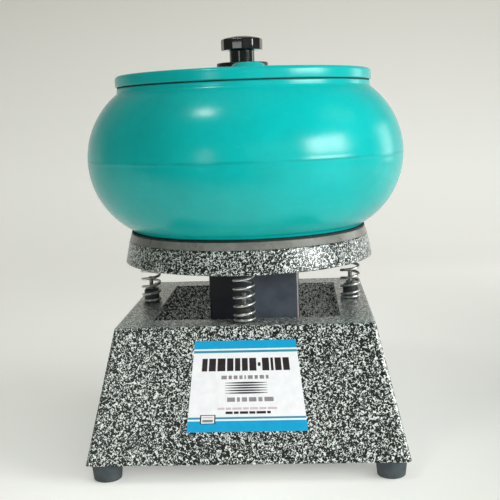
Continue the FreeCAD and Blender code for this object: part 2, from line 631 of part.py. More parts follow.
# ---------------------------------------------------------------- motor
TIE_BOLT_RADIUS = 2.0
BEARING = {"inner": 5.0, "inner_race": 7.2, "outer_race": 11.0, "outer": 13.0, "width": 8.0}
BEARING_Z = {"upper": TOP_BELL_Z - 13.0, "lower": BOTTOM_BELL_Z + 5.0}


def motor_shroud():
    """A folded box round the motor, open below, with a top plate and slots in its back and sides."""
    bend = 2.5
    width, depth = SHROUD_WIDTH, SHROUD_DEPTH
    outer = rounded_prism(width, depth, bend, SHROUD_BOTTOM_Z, SHROUD_TOP_Z, SHROUD_CENTRE_X)
    inside = (width - 2 * SHROUD_SHEET, depth - 2 * SHROUD_SHEET, bend - SHROUD_SHEET)
    inner = rounded_prism(*inside, SHROUD_BOTTOM_Z - 1, SHROUD_PLATE_Z, SHROUD_CENTRE_X)
    shell = outer.cut(inner)
    shell = shell.cut(cylinder(ROD_RADIUS + 0.3, SHROUD_PLATE_Z - 1, SHROUD_TOP_Z + 1))
    for x, y in TIE_BOLT_SPOTS:
        shell = shell.cut(cylinder(TIE_BOLT_RADIUS + 0.2, SHROUD_PLATE_Z - 1, SHROUD_TOP_Z + 1, x, y))
    slot_z0, slot_z1, slot_half = 90.0, 112.0, 2.0
    for offset in range(-24, 25, 12):
        x, half_width = SHROUD_CENTRE_X + offset, width / 2 + 5
        back = box(x - slot_half, x + slot_half, depth / 2 - 5, depth / 2 + 5, slot_z0, slot_z1)
        sides = box(SHROUD_CENTRE_X - half_width, SHROUD_CENTRE_X + half_width,
                    offset - slot_half, offset + slot_half, slot_z0, slot_z1)
        shell = shell.cut(back).cut(sides)
    save("motor_shroud", shell)


def motor_bell(name, upper):
    """A cast end bell: a square cup with a boss that holds the bearing."""
    wall = 4.0
    rim, back = (STATOR_Z[1], TOP_BELL_Z) if upper else (STATOR_Z[0], BOTTOM_BELL_Z)
    floor = back - wall if upper else back + wall
    z0, z1 = min(rim, back), max(rim, back)
    body = rounded_prism(MOTOR_SIDE, MOTOR_SIDE, 6.0, z0, z1)
    body = body.cut(cylinder(30.5, min(rim, floor), max(rim, floor)))
    lower_rim = BEARING_Z["lower"] + BEARING["width"] + 1.0
    boss_z = (BEARING_Z["upper"] - 1.0, floor) if upper else (floor, lower_rim)
    body = body.fuse(tube(17.0, BEARING["outer"], *boss_z)).removeSplitter()
    if not upper:
        body = body.cut(cylinder(SHAFT_RADIUS + 1.5, back - 1, floor + 1))
    for x, y in TIE_BOLT_SPOTS:
        body = body.cut(cylinder(TIE_BOLT_RADIUS + 0.2, z0 - 1, z1 + 1, x, y))
    save(name, body)


STATOR_BORE = 19.0
SLOTS = 12


def stator():
    """The square laminated core with its slots, and the two rings of end windings."""
    z0, z1 = STATOR_Z
    core = rounded_prism(MOTOR_SIDE, MOTOR_SIDE, 6.0, z0, z1).cut(cylinder(STATOR_BORE, z0 - 1, z1 + 1))
    for index in range(SLOTS):
        slot = box(STATOR_BORE - 1, 27.0, -2.0, 2.0, z0 - 1, z1 + 1)
        slot.rotate(Vector(0, 0, 0), Vector(0, 0, 1), index * ROUND / SLOTS)
        core = core.cut(slot)
    for x, y in TIE_BOLT_SPOTS:
        core = core.cut(cylinder(TIE_BOLT_RADIUS + 0.2, z0 - 1, z1 + 1, x, y))
    save("stator_core", core)
    depth = 10.5
    rings = []
    for low in (z0 - depth - 0.1, z1 + 0.1):
        ring = tube(29.0, 20.8, low, low + depth)
        rims = [e for e in ring.Edges if e.BoundBox.ZMax - e.BoundBox.ZMin < 1e-4]
        rings.append(ring.makeFillet(2.5, rims))
    save("stator_windings", *rings)


def rotor():
    """The rotor core with its cast end rings in one piece, on the motor's shaft."""
    core_z = (STATOR_Z[0] + 2, STATOR_Z[1] - 2)
    core = tube(STATOR_BORE - 0.6, SHAFT_RADIUS, *core_z)
    for ring_z in ((core_z[0] - 5, core_z[0]), (core_z[1], core_z[1] + 5)):
        core = core.fuse(tube(17.4, 9.0, *ring_z))
    save("rotor_core", core)
    shaft_low, shaft_high = WEIGHT_Z[0] - 6.0, BEARING_Z["upper"] + BEARING["width"] + 0.4
    save("motor_shaft", cylinder(SHAFT_RADIUS, shaft_low, shaft_high))


def bearings():
    """Two shielded ball bearings: outer rings with shields, and inner rings. The balls are left out."""
    outers, inners = [], []
    shield = 0.6
    for z in BEARING_Z.values():
        ring = tube(BEARING["outer"], BEARING["outer_race"], z, z + BEARING["width"])
        for low in (z, z + BEARING["width"] - shield):
            ring = ring.fuse(tube(BEARING["outer_race"], BEARING["inner_race"] + 0.3, low, low + shield))
        outers.append(ring.removeSplitter())
        inners.append(tube(BEARING["inner_race"], BEARING["inner"], z, z + BEARING["width"]))
    save("bearing_outer_rings", *outers)
    save("bearing_inner_rings", *inners)


def tie_bolts():
    """Four long bolts that clamp bells, core, spacers, shroud and pan together."""
    bolts, spacers, nuts = [], [], []
    for x, y in TIE_BOLT_SPOTS:
        head = hexagon(7.0, BOTTOM_BELL_Z - 3.0, BOTTOM_BELL_Z, x, y)
        bolts.append(cylinder(TIE_BOLT_RADIUS, BOTTOM_BELL_Z, PAN_TOP_Z + 4.2, x, y).fuse(head))
        spacers.append(tube(4.5, TIE_BOLT_RADIUS + 0.2, TOP_BELL_Z, SHROUD_PLATE_Z, x, y))
        nuts.append(nut(7.0, TIE_BOLT_RADIUS + 0.05, PAN_TOP_Z, PAN_TOP_Z + 3.2, x, y))
    save("motor_tie_bolts", *bolts)
    save("motor_spacers", *spacers)
    save("tie_bolt_nuts", *nuts)


FAN_Z = (90.0, 98.0)
FAN_RADIUS = 29.0
FAN_BLADES = 9


def fan():
    """The motor's cooling fan: a hub, a thin disc and straight blades."""
    z0, z1 = FAN_Z
    wheel = tube(9.0, SHAFT_RADIUS, z0, z1).fuse(tube(FAN_RADIUS, SHAFT_RADIUS, z1 - 1.2, z1))
    for index in range(FAN_BLADES):
        blade = box(8.0, FAN_RADIUS - 1, -0.8, 0.8, z0, z1 - 0.6)
        blade.rotate(Vector(0, 0, 0), Vector(0, 0, 1), index * ROUND / FAN_BLADES)
        wheel = wheel.fuse(blade)
    save("cooling_fan", wheel.removeSplitter())


def eccentric_weight():
    """The half-round weight that shakes the pan, and the screw that clamps it on the shaft."""
    z0, z1 = WEIGHT_Z
    middle = (z0 + z1) / 2
    half = cylinder(WEIGHT_RADIUS, z0, z1)
    half = half.common(box(0, WEIGHT_RADIUS, -WEIGHT_RADIUS, WEIGHT_RADIUS, z0, z1))
    body = half.fuse(cylinder(12.0, z0, z1)).cut(cylinder(SHAFT_RADIUS, z0 - 1, z1 + 1)).removeSplitter()
    hole = Part.makeCylinder(3.05, 10.0, Vector(-13.0, 0, middle), Vector(1, 0, 0))
    body = body.cut(hole)
    save("eccentric_weight", body)
    screw = Part.makeCylinder(3.0, 9.0, Vector(-SHAFT_RADIUS - 9.0, 0, middle), Vector(1, 0, 0))
    socket = Part.makeCylinder(1.5, 3.0, Vector(-SHAFT_RADIUS - 9.0, 0, middle), Vector(1, 0, 0))
    save("weight_screw", screw.cut(socket))


# ---------------------------------------------------------------- electrics
PIVOT_DEPTH = -3.0
ROCKER_TILT = 10.0


def rocker_switch():
    """A mains rocker switch clipped in the rear wall; the rocker is in its off position."""
    place = on_wall(False, REAR_SWITCH_X, REAR_SWITCH_Z)
    (bezel_w, bezel_h), (body_w, body_h), (recess_w, recess_h) = SWITCH_BEZEL, SWITCH_CUTOUT, SWITCH_RECESS
    bezel = rounded_prism(bezel_w, bezel_h, 2.0, 0, 2.2)
    bezel_top = [e for e in bezel.Edges if abs(e.BoundBox.ZMin - 2.2) < 1e-4]
    bezel = bezel.makeFillet(0.8, bezel_top)
    body = box(-body_w / 2 + 0.2, body_w / 2 - 0.2, -body_h / 2 + 0.2, body_h / 2 - 0.2, -20, 0)
    housing = bezel.fuse(body)
    housing = housing.cut(box(-recess_w / 2, recess_w / 2, -recess_h / 2, recess_h / 2, -9, 3))
    save("switch_housing", put(housing, place))
    half_length, half_width, crown = 11.3, 7.7, 1.6
    outline = [Vector(-half_length, -half_width, -5.5), Vector(half_length, -half_width, -5.5),
               Vector(half_length, -half_width, 3.4), Vector(0, -half_width, crown),
               Vector(-half_length, -half_width, 3.4)]
    rocker = Part.Face(Part.makePolygon(outline + outline[:1])).extrude(Vector(0, 2 * half_width, 0))
    rocker.rotate(Vector(0, 0, PIVOT_DEPTH), Vector(0, 1, 0), ROCKER_TILT)
    save("switch_rocker", put(rocker, place))


def cable_gland():
    """The nylon gland for the mains lead: body, locknut inside, seal and dome nut."""
    place = on_wall(False, REAR_GLAND_X, REAR_GLAND_Z)
    bore = GLAND_BORE
    thread = GLAND_THREAD_RADIUS
    body = hexagon(20.0, 0, 5.0).fuse(cylinder(thread, -12.0, 0)).fuse(cylinder(8.0, 5.0, 13.0))
    body = body.cut(cylinder(bore + 1.2, -13, 8.0)).cut(cylinder(6.2, 8.0, 14.0))
    save("gland_body", put(body, place))
    save("gland_locknut", put(nut(20.0, thread + 0.05, -BASE_SHEET - 4.5, -BASE_SHEET), place))
    save("gland_seal", put(tube(6.1, bore, 8.0, 14.5), place))
    cap = turned([(0, 5.6), (10.2, 5.6), (10.2, 11.0), (9.2, 16.0), (6.6, 19.0), (0, 19.0)])
    cap = cap.cut(cylinder(8.1, 5.0, 14.6)).cut(cylinder(bore + 0.8, 14.0, 20.0))
    for index in range(12):
        flute = box(9.7, 11.0, -0.6, 0.6, 5.0, 12.0)
        flute.rotate(Vector(0, 0, 0), Vector(0, 0, 1), index * ROUND / 12)
        cap = cap.cut(flute)
    save("gland_cap", put(cap, place))


LIP_TOP_Z = FOOT_HEIGHT + BASE_SHEET
CAPACITOR_RADIUS = 13.0
CAPACITOR_Z = LIP_TOP_Z + 20.0
CAPACITOR_X = (-50.0, 10.0)
BLOCK_X = (37.0, 81.0)
BLOCK_Y = (112.5, 129.0)
BLOCK_Z = (LIP_TOP_Z, LIP_TOP_Z + 15.0)
BLOCK_POLES = 5


def base_wiring():
    """The run capacitor in its clip and the terminal block, screwed to the lip inside the rear wall."""
    x0, x1 = CAPACITOR_X
    clip_x, clip_y = CLIP_SPOT
    along = Vector(1, 0, 0)
    can = Part.makeCylinder(CAPACITOR_RADIUS, x1 - x0, Vector(x0, clip_y, CAPACITOR_Z), along)
    can = can.makeFillet(2.0, [e for e in can.Edges if e.BoundBox.XLength < 1e-4])
    save("run_capacitor", can)
    band = Part.makeCylinder(CAPACITOR_RADIUS + 1.2, 14.0, Vector(clip_x - 7, clip_y, CAPACITOR_Z), along)
    foot = box(clip_x - 7, clip_x + 7, clip_y - 8, clip_y + 8, LIP_TOP_Z, CAPACITOR_Z - 8)
    bore = Part.makeCylinder(CAPACITOR_RADIUS, 16.0, Vector(clip_x - 8, clip_y, CAPACITOR_Z), along)
    clip = band.fuse(foot).cut(bore).removeSplitter()
    save("capacitor_clip", clip.cut(cylinder(1.5, LIP_TOP_Z - 1, LIP_TOP_Z + 6.5, clip_x, clip_y)))
    block = box(*BLOCK_X, *BLOCK_Y, *BLOCK_Z)
    step = (BLOCK_X[1] - BLOCK_X[0]) / BLOCK_POLES
    for pole in range(BLOCK_POLES):
        x = BLOCK_X[0] + step * (pole + 0.5)
        for y in (BLOCK_Y[0] + 4, BLOCK_Y[1] - 4):
            block = block.cut(cylinder(2.2, BLOCK_Z[1] - 4, BLOCK_Z[1] + 1, x, y))
    for x, y in BLOCK_SPOTS:
        block = block.cut(cylinder(1.5, LIP_TOP_Z - 1, LIP_TOP_Z + 6.5, x, y))
    save("terminal_block", block)
    screws = []
    for x, y in BLOCK_SPOTS + [CLIP_SPOT]:
        head = pan_head(3.2, 2.0, FOOT_HEIGHT, False, x, y)
        head = head.cut(cross_slot(3.2, FOOT_HEIGHT - 2.0, 1.0, False, x, y))
        screws.append(cylinder(1.45, FOOT_HEIGHT, LIP_TOP_Z + 6.0, x, y).fuse(head))
    save("bracket_screws", *screws)


def main():
    base_housing()
    type_label()
    rubber_feet()
    foot_fasteners()
    springs()
    spring_seats()
    pan()
    pan_mat()
    bowl()
    lid()
    clamp_washer()
    knob()
    centre_rod()
    motor_shroud()
    motor_bell("motor_bell_upper", True)
    motor_bell("motor_bell_lower", False)
    stator()
    rotor()
    bearings()
    tie_bolts()
    fan()
    eccentric_weight()
    rocker_switch()
    cable_gland()
    base_wiring()


main()
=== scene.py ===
"""Vibratory rock tumbler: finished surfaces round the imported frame.

Lengths in the shape code are millimetres, turned into metres as a mesh is made. Lengths in the materials, the
stage, the lights and the camera are metres. +Z is up and -Y is the front.
"""

import json
import math

import bpy
from mathutils import Matrix, Vector


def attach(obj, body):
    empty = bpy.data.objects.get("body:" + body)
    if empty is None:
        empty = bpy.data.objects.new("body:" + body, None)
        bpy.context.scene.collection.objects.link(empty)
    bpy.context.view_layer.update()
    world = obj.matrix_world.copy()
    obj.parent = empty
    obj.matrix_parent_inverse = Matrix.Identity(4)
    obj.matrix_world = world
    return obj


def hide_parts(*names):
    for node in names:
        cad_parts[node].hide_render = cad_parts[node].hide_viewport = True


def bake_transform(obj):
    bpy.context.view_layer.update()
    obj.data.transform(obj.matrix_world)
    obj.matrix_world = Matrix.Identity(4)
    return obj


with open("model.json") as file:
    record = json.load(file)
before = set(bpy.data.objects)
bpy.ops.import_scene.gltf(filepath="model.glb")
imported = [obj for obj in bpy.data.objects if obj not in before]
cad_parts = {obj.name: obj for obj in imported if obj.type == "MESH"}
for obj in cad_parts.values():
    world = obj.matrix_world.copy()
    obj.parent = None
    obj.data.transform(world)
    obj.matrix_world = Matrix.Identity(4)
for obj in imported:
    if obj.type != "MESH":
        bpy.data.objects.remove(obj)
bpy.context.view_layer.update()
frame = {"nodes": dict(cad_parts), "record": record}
MM = 0.001
ON_AXIS = 1e-6

# ---------------------------------------------------------------- sizes shared by several pieces
BASE_BOTTOM, BASE_TOP, FLOOR_GAP, BASE_TOP_Z = 285.0, 231.0, 17.0, 134.0
WALL_LEAN = math.atan2((BASE_BOTTOM - BASE_TOP) / 2, BASE_TOP_Z - FLOOR_GAP)
FOOT_CENTRE = 126.0
SPRING_CIRCLE = 99.5
SPRING_RADIUS, SPRING_WIRE = 8.8, 1.35
SPRING_Z = (134.0, 205.6)
PAN_TOP_Z, PAN_SHOULDER_Z, PAN_SKIRT_Z = 207.6, 200.4, 179.2
BOWL_BOTTOM_Z = 209.4
BOWL_RADIUS, BOWL_WIDEST_Z = 153.0, 278.5
BOWL_RIM_Z, LID_RIM_Z = 346.0, 347.0
LID_CROWN_Z = 362.6
WASHER_TOP_Z = 367.3
KNOB_HEAD_Z, KNOB_TOP_Z = 379.2, 392.7
KNOB_FLATS, KNOB_PHASE = 12, math.radians(5.2 - 90)
ROD_Z = (191.0, 383.0)
ROD_HOLE = 5.6
# the gap left between two pieces that lie on each other
HAIRLINE = 0.02


# ---------------------------------------------------------------- shape helpers
def mesh_object(name, vertices, faces, materials, face_materials=None, sharp=35.0):
    """A smooth-shaded mesh from points in millimetres. Edges that turn by more than sharp degrees are hard."""
    mesh = bpy.data.meshes.new(name)
    mesh.from_pydata([(x * MM, y * MM, z * MM) for x, y, z in vertices], [], faces)
    for material in materials:
        mesh.materials.append(material)
    if face_materials:
        mesh.polygons.foreach_set("material_index", face_materials)
    mesh.validate()
    mesh.shade_smooth()
    mesh.set_sharp_from_angle(angle=math.radians(sharp))
    piece = bpy.data.objects.new(name, mesh)
    bpy.context.scene.collection.objects.link(piece)
    return piece


def arc(a, middle, b, steps=12):
    """Points of the circle through three points, from a to b."""
    (ax, ay), (mx, my), (bx, by) = a, middle, b
    d = 2 * (ax * (my - by) + mx * (by - ay) + bx * (ay - my))
    aa, mm, bb = ax * ax + ay * ay, mx * mx + my * my, bx * bx + by * by
    cx = (aa * (my - by) + mm * (by - ay) + bb * (ay - my)) / d
    cy = (aa * (bx - mx) + mm * (ax - bx) + bb * (mx - ax)) / d
    radius = math.hypot(ax - cx, ay - cy)
    start, through, end = (math.atan2(y - cy, x - cx) for x, y in (a, middle, b))
    sweep = (end - start) % (2 * math.pi)
    if (through - start) % (2 * math.pi) > sweep:
        sweep -= 2 * math.pi
    angles = [start + sweep * i / steps for i in range(steps + 1)]
    return [(cx + radius * math.cos(angle), cy + radius * math.sin(angle)) for angle in angles]


def round_arc(cx, cy, radius, start, end, steps):
    """Points of an arc about a centre, with angles in degrees."""
    angles = [math.radians(start + (end - start) * i / steps) for i in range(steps + 1)]
    return [(cx + radius * math.cos(angle), cy + radius * math.sin(angle)) for angle in angles]


def rounded(corners, steps=5):
    """A closed outline whose corners (x, y, radius) are rounded. A corner with no radius stays sharp."""
    outline = []
    for i, corner in enumerate(corners):
        here = Vector(corner[:2])
        if len(corner) < 3:
            outline.append((here.x, here.y))
            continue
        back = (Vector(corners[i - 1][:2]) - here).normalized()
        ahead = (Vector(corners[(i + 1) % len(corners)][:2]) - here).normalized()
        half = back.angle(ahead) / 2
        reach = corner[2] / math.tan(half)
        start, end = here + back * reach, here + ahead * reach
        bisector = (back + ahead).normalized()
        middle = here + bisector * (corner[2] / math.sin(half) - corner[2])
        outline += arc(tuple(start), tuple(middle), tuple(end), steps)
    return outline


def lathe(name, outline, materials, segments=160, shape=None, pick=None, sharp=35.0, centre=(0.0, 0.0)):
    """Turns a closed outline of (radius, height) about a vertical axis.

    shape(radius, height, angle) may change the radius. pick(radius, height) chooses each ring's material.
    """
    vertices, rings = [], []
    for radius, z in outline:
        if radius < ON_AXIS:
            rings.append([len(vertices)] * segments)
            vertices.append((centre[0], centre[1], z))
            continue
        ring = []
        for i in range(segments):
            angle = 2 * math.pi * i / segments
            r = shape(radius, z, angle) if shape else radius
            ring.append(len(vertices))
            vertices.append((centre[0] + r * math.cos(angle), centre[1] + r * math.sin(angle), z))
        rings.append(ring)
    faces, chosen = [], []
    for k, ring in enumerate(rings):
        following = rings[(k + 1) % len(rings)]
        (r0, z0), (r1, z1) = outline[k], outline[(k + 1) % len(rings)]
        if r0 < ON_AXIS and r1 < ON_AXIS:
            continue
        for i in range(segments):
            j = (i + 1) % segments
            corners = [ring[i], ring[j], following[j], following[i]]
            faces.append(list(dict.fromkeys(corners)))
            chosen.append(pick((r0 + r1) / 2, (z0 + z1) / 2) if pick else 0)
    return mesh_object(name, vertices, faces, materials, chosen, sharp)


def sweep_rings(name, rings, materials, sharp=60.0):
    """A closed tube through rings of points that all have the same count."""
    vertices = [point for ring in rings for point in ring]
    count = len(rings[0])
    faces = [list(reversed(range(count)))]
    for k in range(len(rings) - 1):
        for i in range(count):
            j = (i + 1) % count
            faces.append([k * count + i, k * count + j, (k + 1) * count + j, (k + 1) * count + i])
    last = (len(rings) - 1) * count
    faces.append([last + i for i in range(count)])
    return mesh_object(name, vertices, faces, materials, None, sharp)


def stand_in(piece, body, slot, *nodes):
    """The piece rides on a body and stands for those CAD nodes; slot is not used."""
    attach(piece, body)
    if nodes:
        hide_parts(*nodes)


# ---------------------------------------------------------------- material helpers
def srgb(red, green, blue):
    """A linear colour from 0-255 screen values."""
    def linear(v):
        v /= 255.0
        return v / 12.92 if v <= 0.04045 else ((v + 0.055) / 1.055) ** 2.4
    return (linear(red), linear(green), linear(blue), 1.0)


def scaled(colour, factor):
    """The colour, made darker or lighter."""
    return tuple(c * factor for c in colour[:3]) + (1.0,)


def feed(tree, socket, value):
    """Links the socket to another one, or sets it to a value."""
    if isinstance(value, bpy.types.NodeSocket):
        tree.links.new(value, socket)
    else:
        socket.default_value = value


def add(tree, kind, inputs=None, **settings):
    """A node with its settings and inputs. An input is named, or numbered where names repeat."""
    made = tree.nodes.new(kind)
    for key, value in settings.items():
        setattr(made, key, value)
    for key, value in (inputs or {}).items():
        feed(tree, made.inputs[key], value)
    return made


def start_material(name, **sockets):
    """A material and its node tree and shader, with the shader's even values set on its own sockets."""
    material = bpy.data.materials.new(name)
    material.use_nodes = True
    tree = material.node_tree
    shader = tree.nodes["Principled BSDF"]
    for key, value in sockets.items():
        shader.inputs[key.replace("_", " ")].default_value = value
    return material, tree, shader


def wire(tree, shader, **sockets):
    """Links the shader's uneven inputs."""
    for key, value in sockets.items():
        tree.links.new(value, shader.inputs[key.replace("_", " ")])


def place(tree, stretch=(1, 1, 1)):
    """The point on the object in its own frame, in metres."""
    where = add(tree, "ShaderNodeTexCoord").outputs["Object"]
    return add(tree, "ShaderNodeMapping", {"Vector": where, "Scale": stretch}).outputs["Vector"]


def position(tree):
    """The X, Y and Z of the point on the object."""
    return add(tree, "ShaderNodeSeparateXYZ", {"Vector": place(tree)}).outputs


def noise(tree, scale, detail=2.0, roughness=0.5, distortion=0.0, stretch=(1, 1, 1)):
    return add(tree, "ShaderNodeTexNoise", {
        "Vector": place(tree, stretch), "Scale": scale, "Detail": detail, "Roughness": roughness,
        "Distortion": distortion}).outputs["Fac"]


def ramp(tree, value, stops):
    """stops is a list of (position, linear colour or grey level)."""
    made = add(tree, "ShaderNodeValToRGB", {"Fac": value})
    elements = made.color_ramp.elements
    while len(elements) < len(stops):
        elements.new(0.5)
    for element, (at, colour) in zip(elements, stops):
        element.position = at
        element.color = colour if isinstance(colour, tuple) else (colour, colour, colour, 1.0)
    return made.outputs["Color"]


def mix(tree, factor, a, b):
    return add(tree, "ShaderNodeMix", {0: factor, 6: a, 7: b}, data_type="RGBA").outputs[2]


def math_node(tree, operation, a, b=0.0):
    return add(tree, "ShaderNodeMath", {0: a, 1: b}, operation=operation).outputs[0]


def plus(tree, a, b):
    return math_node(tree, "ADD", a, b)


def minus(tree, a, b):
    return math_node(tree, "SUBTRACT", a, b)


def times(tree, a, b):
    return math_node(tree, "MULTIPLY", a, b)


def band(tree, value, low, high):
    """0 below low, 1 above high, and a straight line between."""
    inputs = {"Value": value, "From Min": low, "From Max": high}
    return add(tree, "ShaderNodeMapRange", inputs).outputs["Result"]


def bump(tree, height, strength, distance, under=None):
    inputs = {"Height": height, "Strength": strength, "Distance": distance}
    if under is not None:
        inputs["Normal"] = under
    return add(tree, "ShaderNodeBump", inputs).outputs["Normal"]


def plain_finish(name, colour, other, roughness, metallic=0.0, patch=60.0, grain=900.0, relief=0.00004,
                 **sockets):
    """Two close tones in patches, uneven gloss and a fine grain: paint, plastic, rubber or cast metal."""
    material, tree, shader = start_material(name, Metallic=metallic, **sockets)
    patches = noise(tree, patch, 4.0, 0.6)
    tone = mix(tree, band(tree, patches, 0.35, 0.65), colour, other)
    gloss = ramp(tree, noise(tree, patch * 2.3, 3.0, 0.55), [(0.3, roughness[0]), (0.7, roughness[1])])
    skin = bump(tree, noise(tree, grain, 3.0), 0.5, relief)
    wire(tree, shader, Base_Color=tone, Roughness=gloss, Normal=skin)
    return material


def brushed(name, colour, other, roughness, stretch, lines=700.0):
    """Metal with fine lines along the axis that stretch squeezes."""
    material, tree, shader = start_material(name, Metallic=1.0)
    streaks = noise(tree, lines, 3.0, 0.6, 0.0, stretch)
    tone = mix(tree, band(tree, streaks, 0.3, 0.7), colour, other)
    dulled = band(tree, noise(tree, 45.0, 4.0, 0.65), 0.55, 0.75)
    gloss = ramp(tree, streaks, [(0.3, roughness[0]), (0.7, roughness[1])])
    wire(tree, shader, Base_Color=mix(tree, dulled, tone, mix(tree, 0.35, tone, other)), Roughness=gloss,
         Normal=bump(tree, streaks, 0.4, 0.00002))
    return material


def laminated(name, colour, other, direction, spacing):
    """Thin stacked sheets or wound wire: fine bands along one direction over a base tone."""
    material, tree, shader = start_material(name, Metallic=0.8)
    bands = add(tree, "ShaderNodeTexWave", {
        "Vector": place(tree), "Scale": spacing, "Distortion": 0.6, "Detail": 2.0, "Detail Scale": 2.0},
        wave_type="BANDS", bands_direction=direction).outputs["Fac"]
    tone = mix(tree, bands, colour, other)
    tone = mix(tree, band(tree, noise(tree, 60.0, 4.0), 0.5, 0.75), tone, other)
    rough = ramp(tree, bands, [(0.0, 0.35), (1.0, 0.55)])
    wire(tree, shader, Base_Color=tone, Roughness=rough, Normal=bump(tree, bands, 0.6, 0.0003))
    return material


# ---------------------------------------------------------------- materials
def inner_painted_light(tree):
    """1 on the base's inner faces, which lie one sheet in from its sloping walls, and 0 on its outside.

    This painted light lightens the inner faces as if light fell in, and less so on the left, where less light
    falls in.
    """
    axes = position(tree)
    out = math_node(tree, "MAXIMUM", math_node(tree, "ABSOLUTE", axes["X"]),
                    math_node(tree, "ABSOLUTE", axes["Y"]))
    rise = times(tree, minus(tree, axes["Z"], FLOOR_GAP * MM), math.tan(WALL_LEAN))
    skin = BASE_BOTTOM / 2 * MM
    inside = minus(tree, 1.0, band(tree, plus(tree, out, rise), skin - 0.0009, skin - 0.0007))
    under_top = math_node(tree, "LESS_THAN", axes["Z"], (BASE_TOP_Z - 1.2) * MM)
    # painted light: a fifth as strong on the left as on the right, where the light falls in
    painted_light_share = plus(tree, 0.2, times(tree, band(tree, axes["X"], -0.03, 0.03), 0.8))
    return times(tree, times(tree, inside, under_top), painted_light_share)


def hammertone(name, size, level_at, inside=0.0):
    """Two-tone vein paint: silver worms that stand a little proud of a near-black ground, under a clear coat.

    The base's inner faces take more silver by the amount inside, as painted light falling into the base.
    """
    dark, silver, edge = srgb(8, 13, 12), srgb(240, 247, 242), 0.016
    material, tree, shader = start_material(name, Coat_Weight=0.3, Coat_Roughness=0.22, Specular_IOR_Level=0.5)
    worms = noise(tree, size, 1.0, 0.45, 1.3)
    drift = times(tree, minus(tree, noise(tree, 14.0, 2.0), 0.5), 0.05)
    level = plus(tree, worms, drift)
    if inside:
        # painted light: more silver on the base's inner faces
        level = plus(tree, level, times(tree, inner_painted_light(tree), inside))
    veins = band(tree, level, level_at - edge, level_at + edge)
    tint = ramp(tree, noise(tree, size * 0.45, 2.0), [(0.3, silver), (0.7, scaled(silver, 0.8))])
    ground = ramp(tree, noise(tree, size * 1.7, 2.0), [(0.35, dark), (0.7, scaled(dark, 1.6))])
    rough = ramp(tree, veins, [(0.0, 0.30), (1.0, 0.44)])
    wire(tree, shader, Base_Color=mix(tree, veins, ground, tint), Roughness=rough,
         Metallic=times(tree, veins, 0.32), Normal=bump(tree, level, 0.4, 0.0005))
    return material


def moulded_teal(name, seam_z=None):
    """Cast polyurethane: a teal with cloudy patches, faint dull scuffs and an orange-peel skin.

    The mould's seam, at the height seam_z, is a broken, darker line.
    """
    material, tree, shader = start_material(name, Specular_IOR_Level=0.38)
    clouds = noise(tree, 11.0, 5.0, 0.6)
    teal = ramp(tree, clouds, [(0.30, srgb(0, 164, 160)), (0.52, srgb(0, 177, 174)), (0.75, srgb(0, 184, 182))])
    mottle = times(tree, band(tree, noise(tree, 160.0, 4.0, 0.65), 0.45, 0.75), 0.16)
    teal = mix(tree, mottle, teal, srgb(0, 148, 145))
    scuffs = times(tree, band(tree, noise(tree, 42.0, 6.0, 0.7, 0.6, (1.0, 1.0, 3.2)), 0.60, 0.74), 0.16)
    teal = mix(tree, scuffs, teal, srgb(90, 200, 196))
    if seam_z is not None:
        off = math_node(tree, "ABSOLUTE", minus(tree, position(tree)["Z"], seam_z * MM))
        line = minus(tree, 1.0, band(tree, off, 0.0004, 0.0018))
        broken = band(tree, noise(tree, 30.0, 3.0), 0.38, 0.56)
        teal = mix(tree, times(tree, times(tree, line, broken), 0.28), teal, srgb(0, 104, 100))
    gloss = ramp(tree, noise(tree, 24.0, 5.0, 0.65), [(0.30, 0.18), (0.70, 0.27)])
    peel = bump(tree, noise(tree, 520.0, 2.0), 0.30, 0.00012)
    wire(tree, shader, Base_Color=teal, Roughness=gloss,
         Normal=bump(tree, noise(tree, 38.0, 3.0), 0.25, 0.0006, peel))
    return material


def shroud_paint():
    """Dark blue-grey satin paint: painted shade at left; worn bare metal with a painted highlight at the right
    front corner.
    """
    material, tree, shader = start_material("shroud_paint", Specular_IOR_Level=0.5)
    tone = mix(tree, band(tree, noise(tree, 30.0, 5.0, 0.6), 0.35, 0.7), srgb(62, 68, 80), srgb(90, 98, 107))
    axes = position(tree)
    # painted shade: the front's left part is darkened nearly to black
    painted_shade_left = minus(tree, 1.0, band(tree, axes["X"], -0.014, 0.004))
    tone = mix(tree, times(tree, painted_shade_left, 0.85), tone, srgb(8, 10, 14))
    # worn bare metal at the right front corner, lightened nearly to white as a painted highlight
    ragged = times(tree, minus(tree, noise(tree, 120.0, 4.0), 0.5), 0.0012)
    corner = band(tree, plus(tree, axes["X"], ragged), 0.0470, 0.0476)
    front = minus(tree, 1.0, band(tree, axes["Y"], -0.0446, -0.0438))
    worn_edge_and_highlight = times(tree, corner, front)
    bare_metal_and_highlight = ramp(tree, noise(tree, 90.0, 3.0), [(0.35, srgb(196, 160, 132)), (0.6, srgb(232, 222, 208))])
    rough = ramp(tree, noise(tree, 55.0, 4.0), [(0.3, 0.30), (0.7, 0.44)])
    wire(tree, shader, Base_Color=mix(tree, worn_edge_and_highlight, tone, bare_metal_and_highlight), Metallic=times(tree, worn_edge_and_highlight, 0.6),
         Roughness=rough, Normal=bump(tree, noise(tree, 420.0, 3.0), 0.3, 0.00008))
    return material


def print_ink(name, colour, other):
    """Ink on the label's film, with a faint mottle and the film's own gloss."""
    return plain_finish(name, colour, other, (0.30, 0.42), patch=130.0, grain=500.0, relief=0.00002,
                        Coat_Weight=0.15)


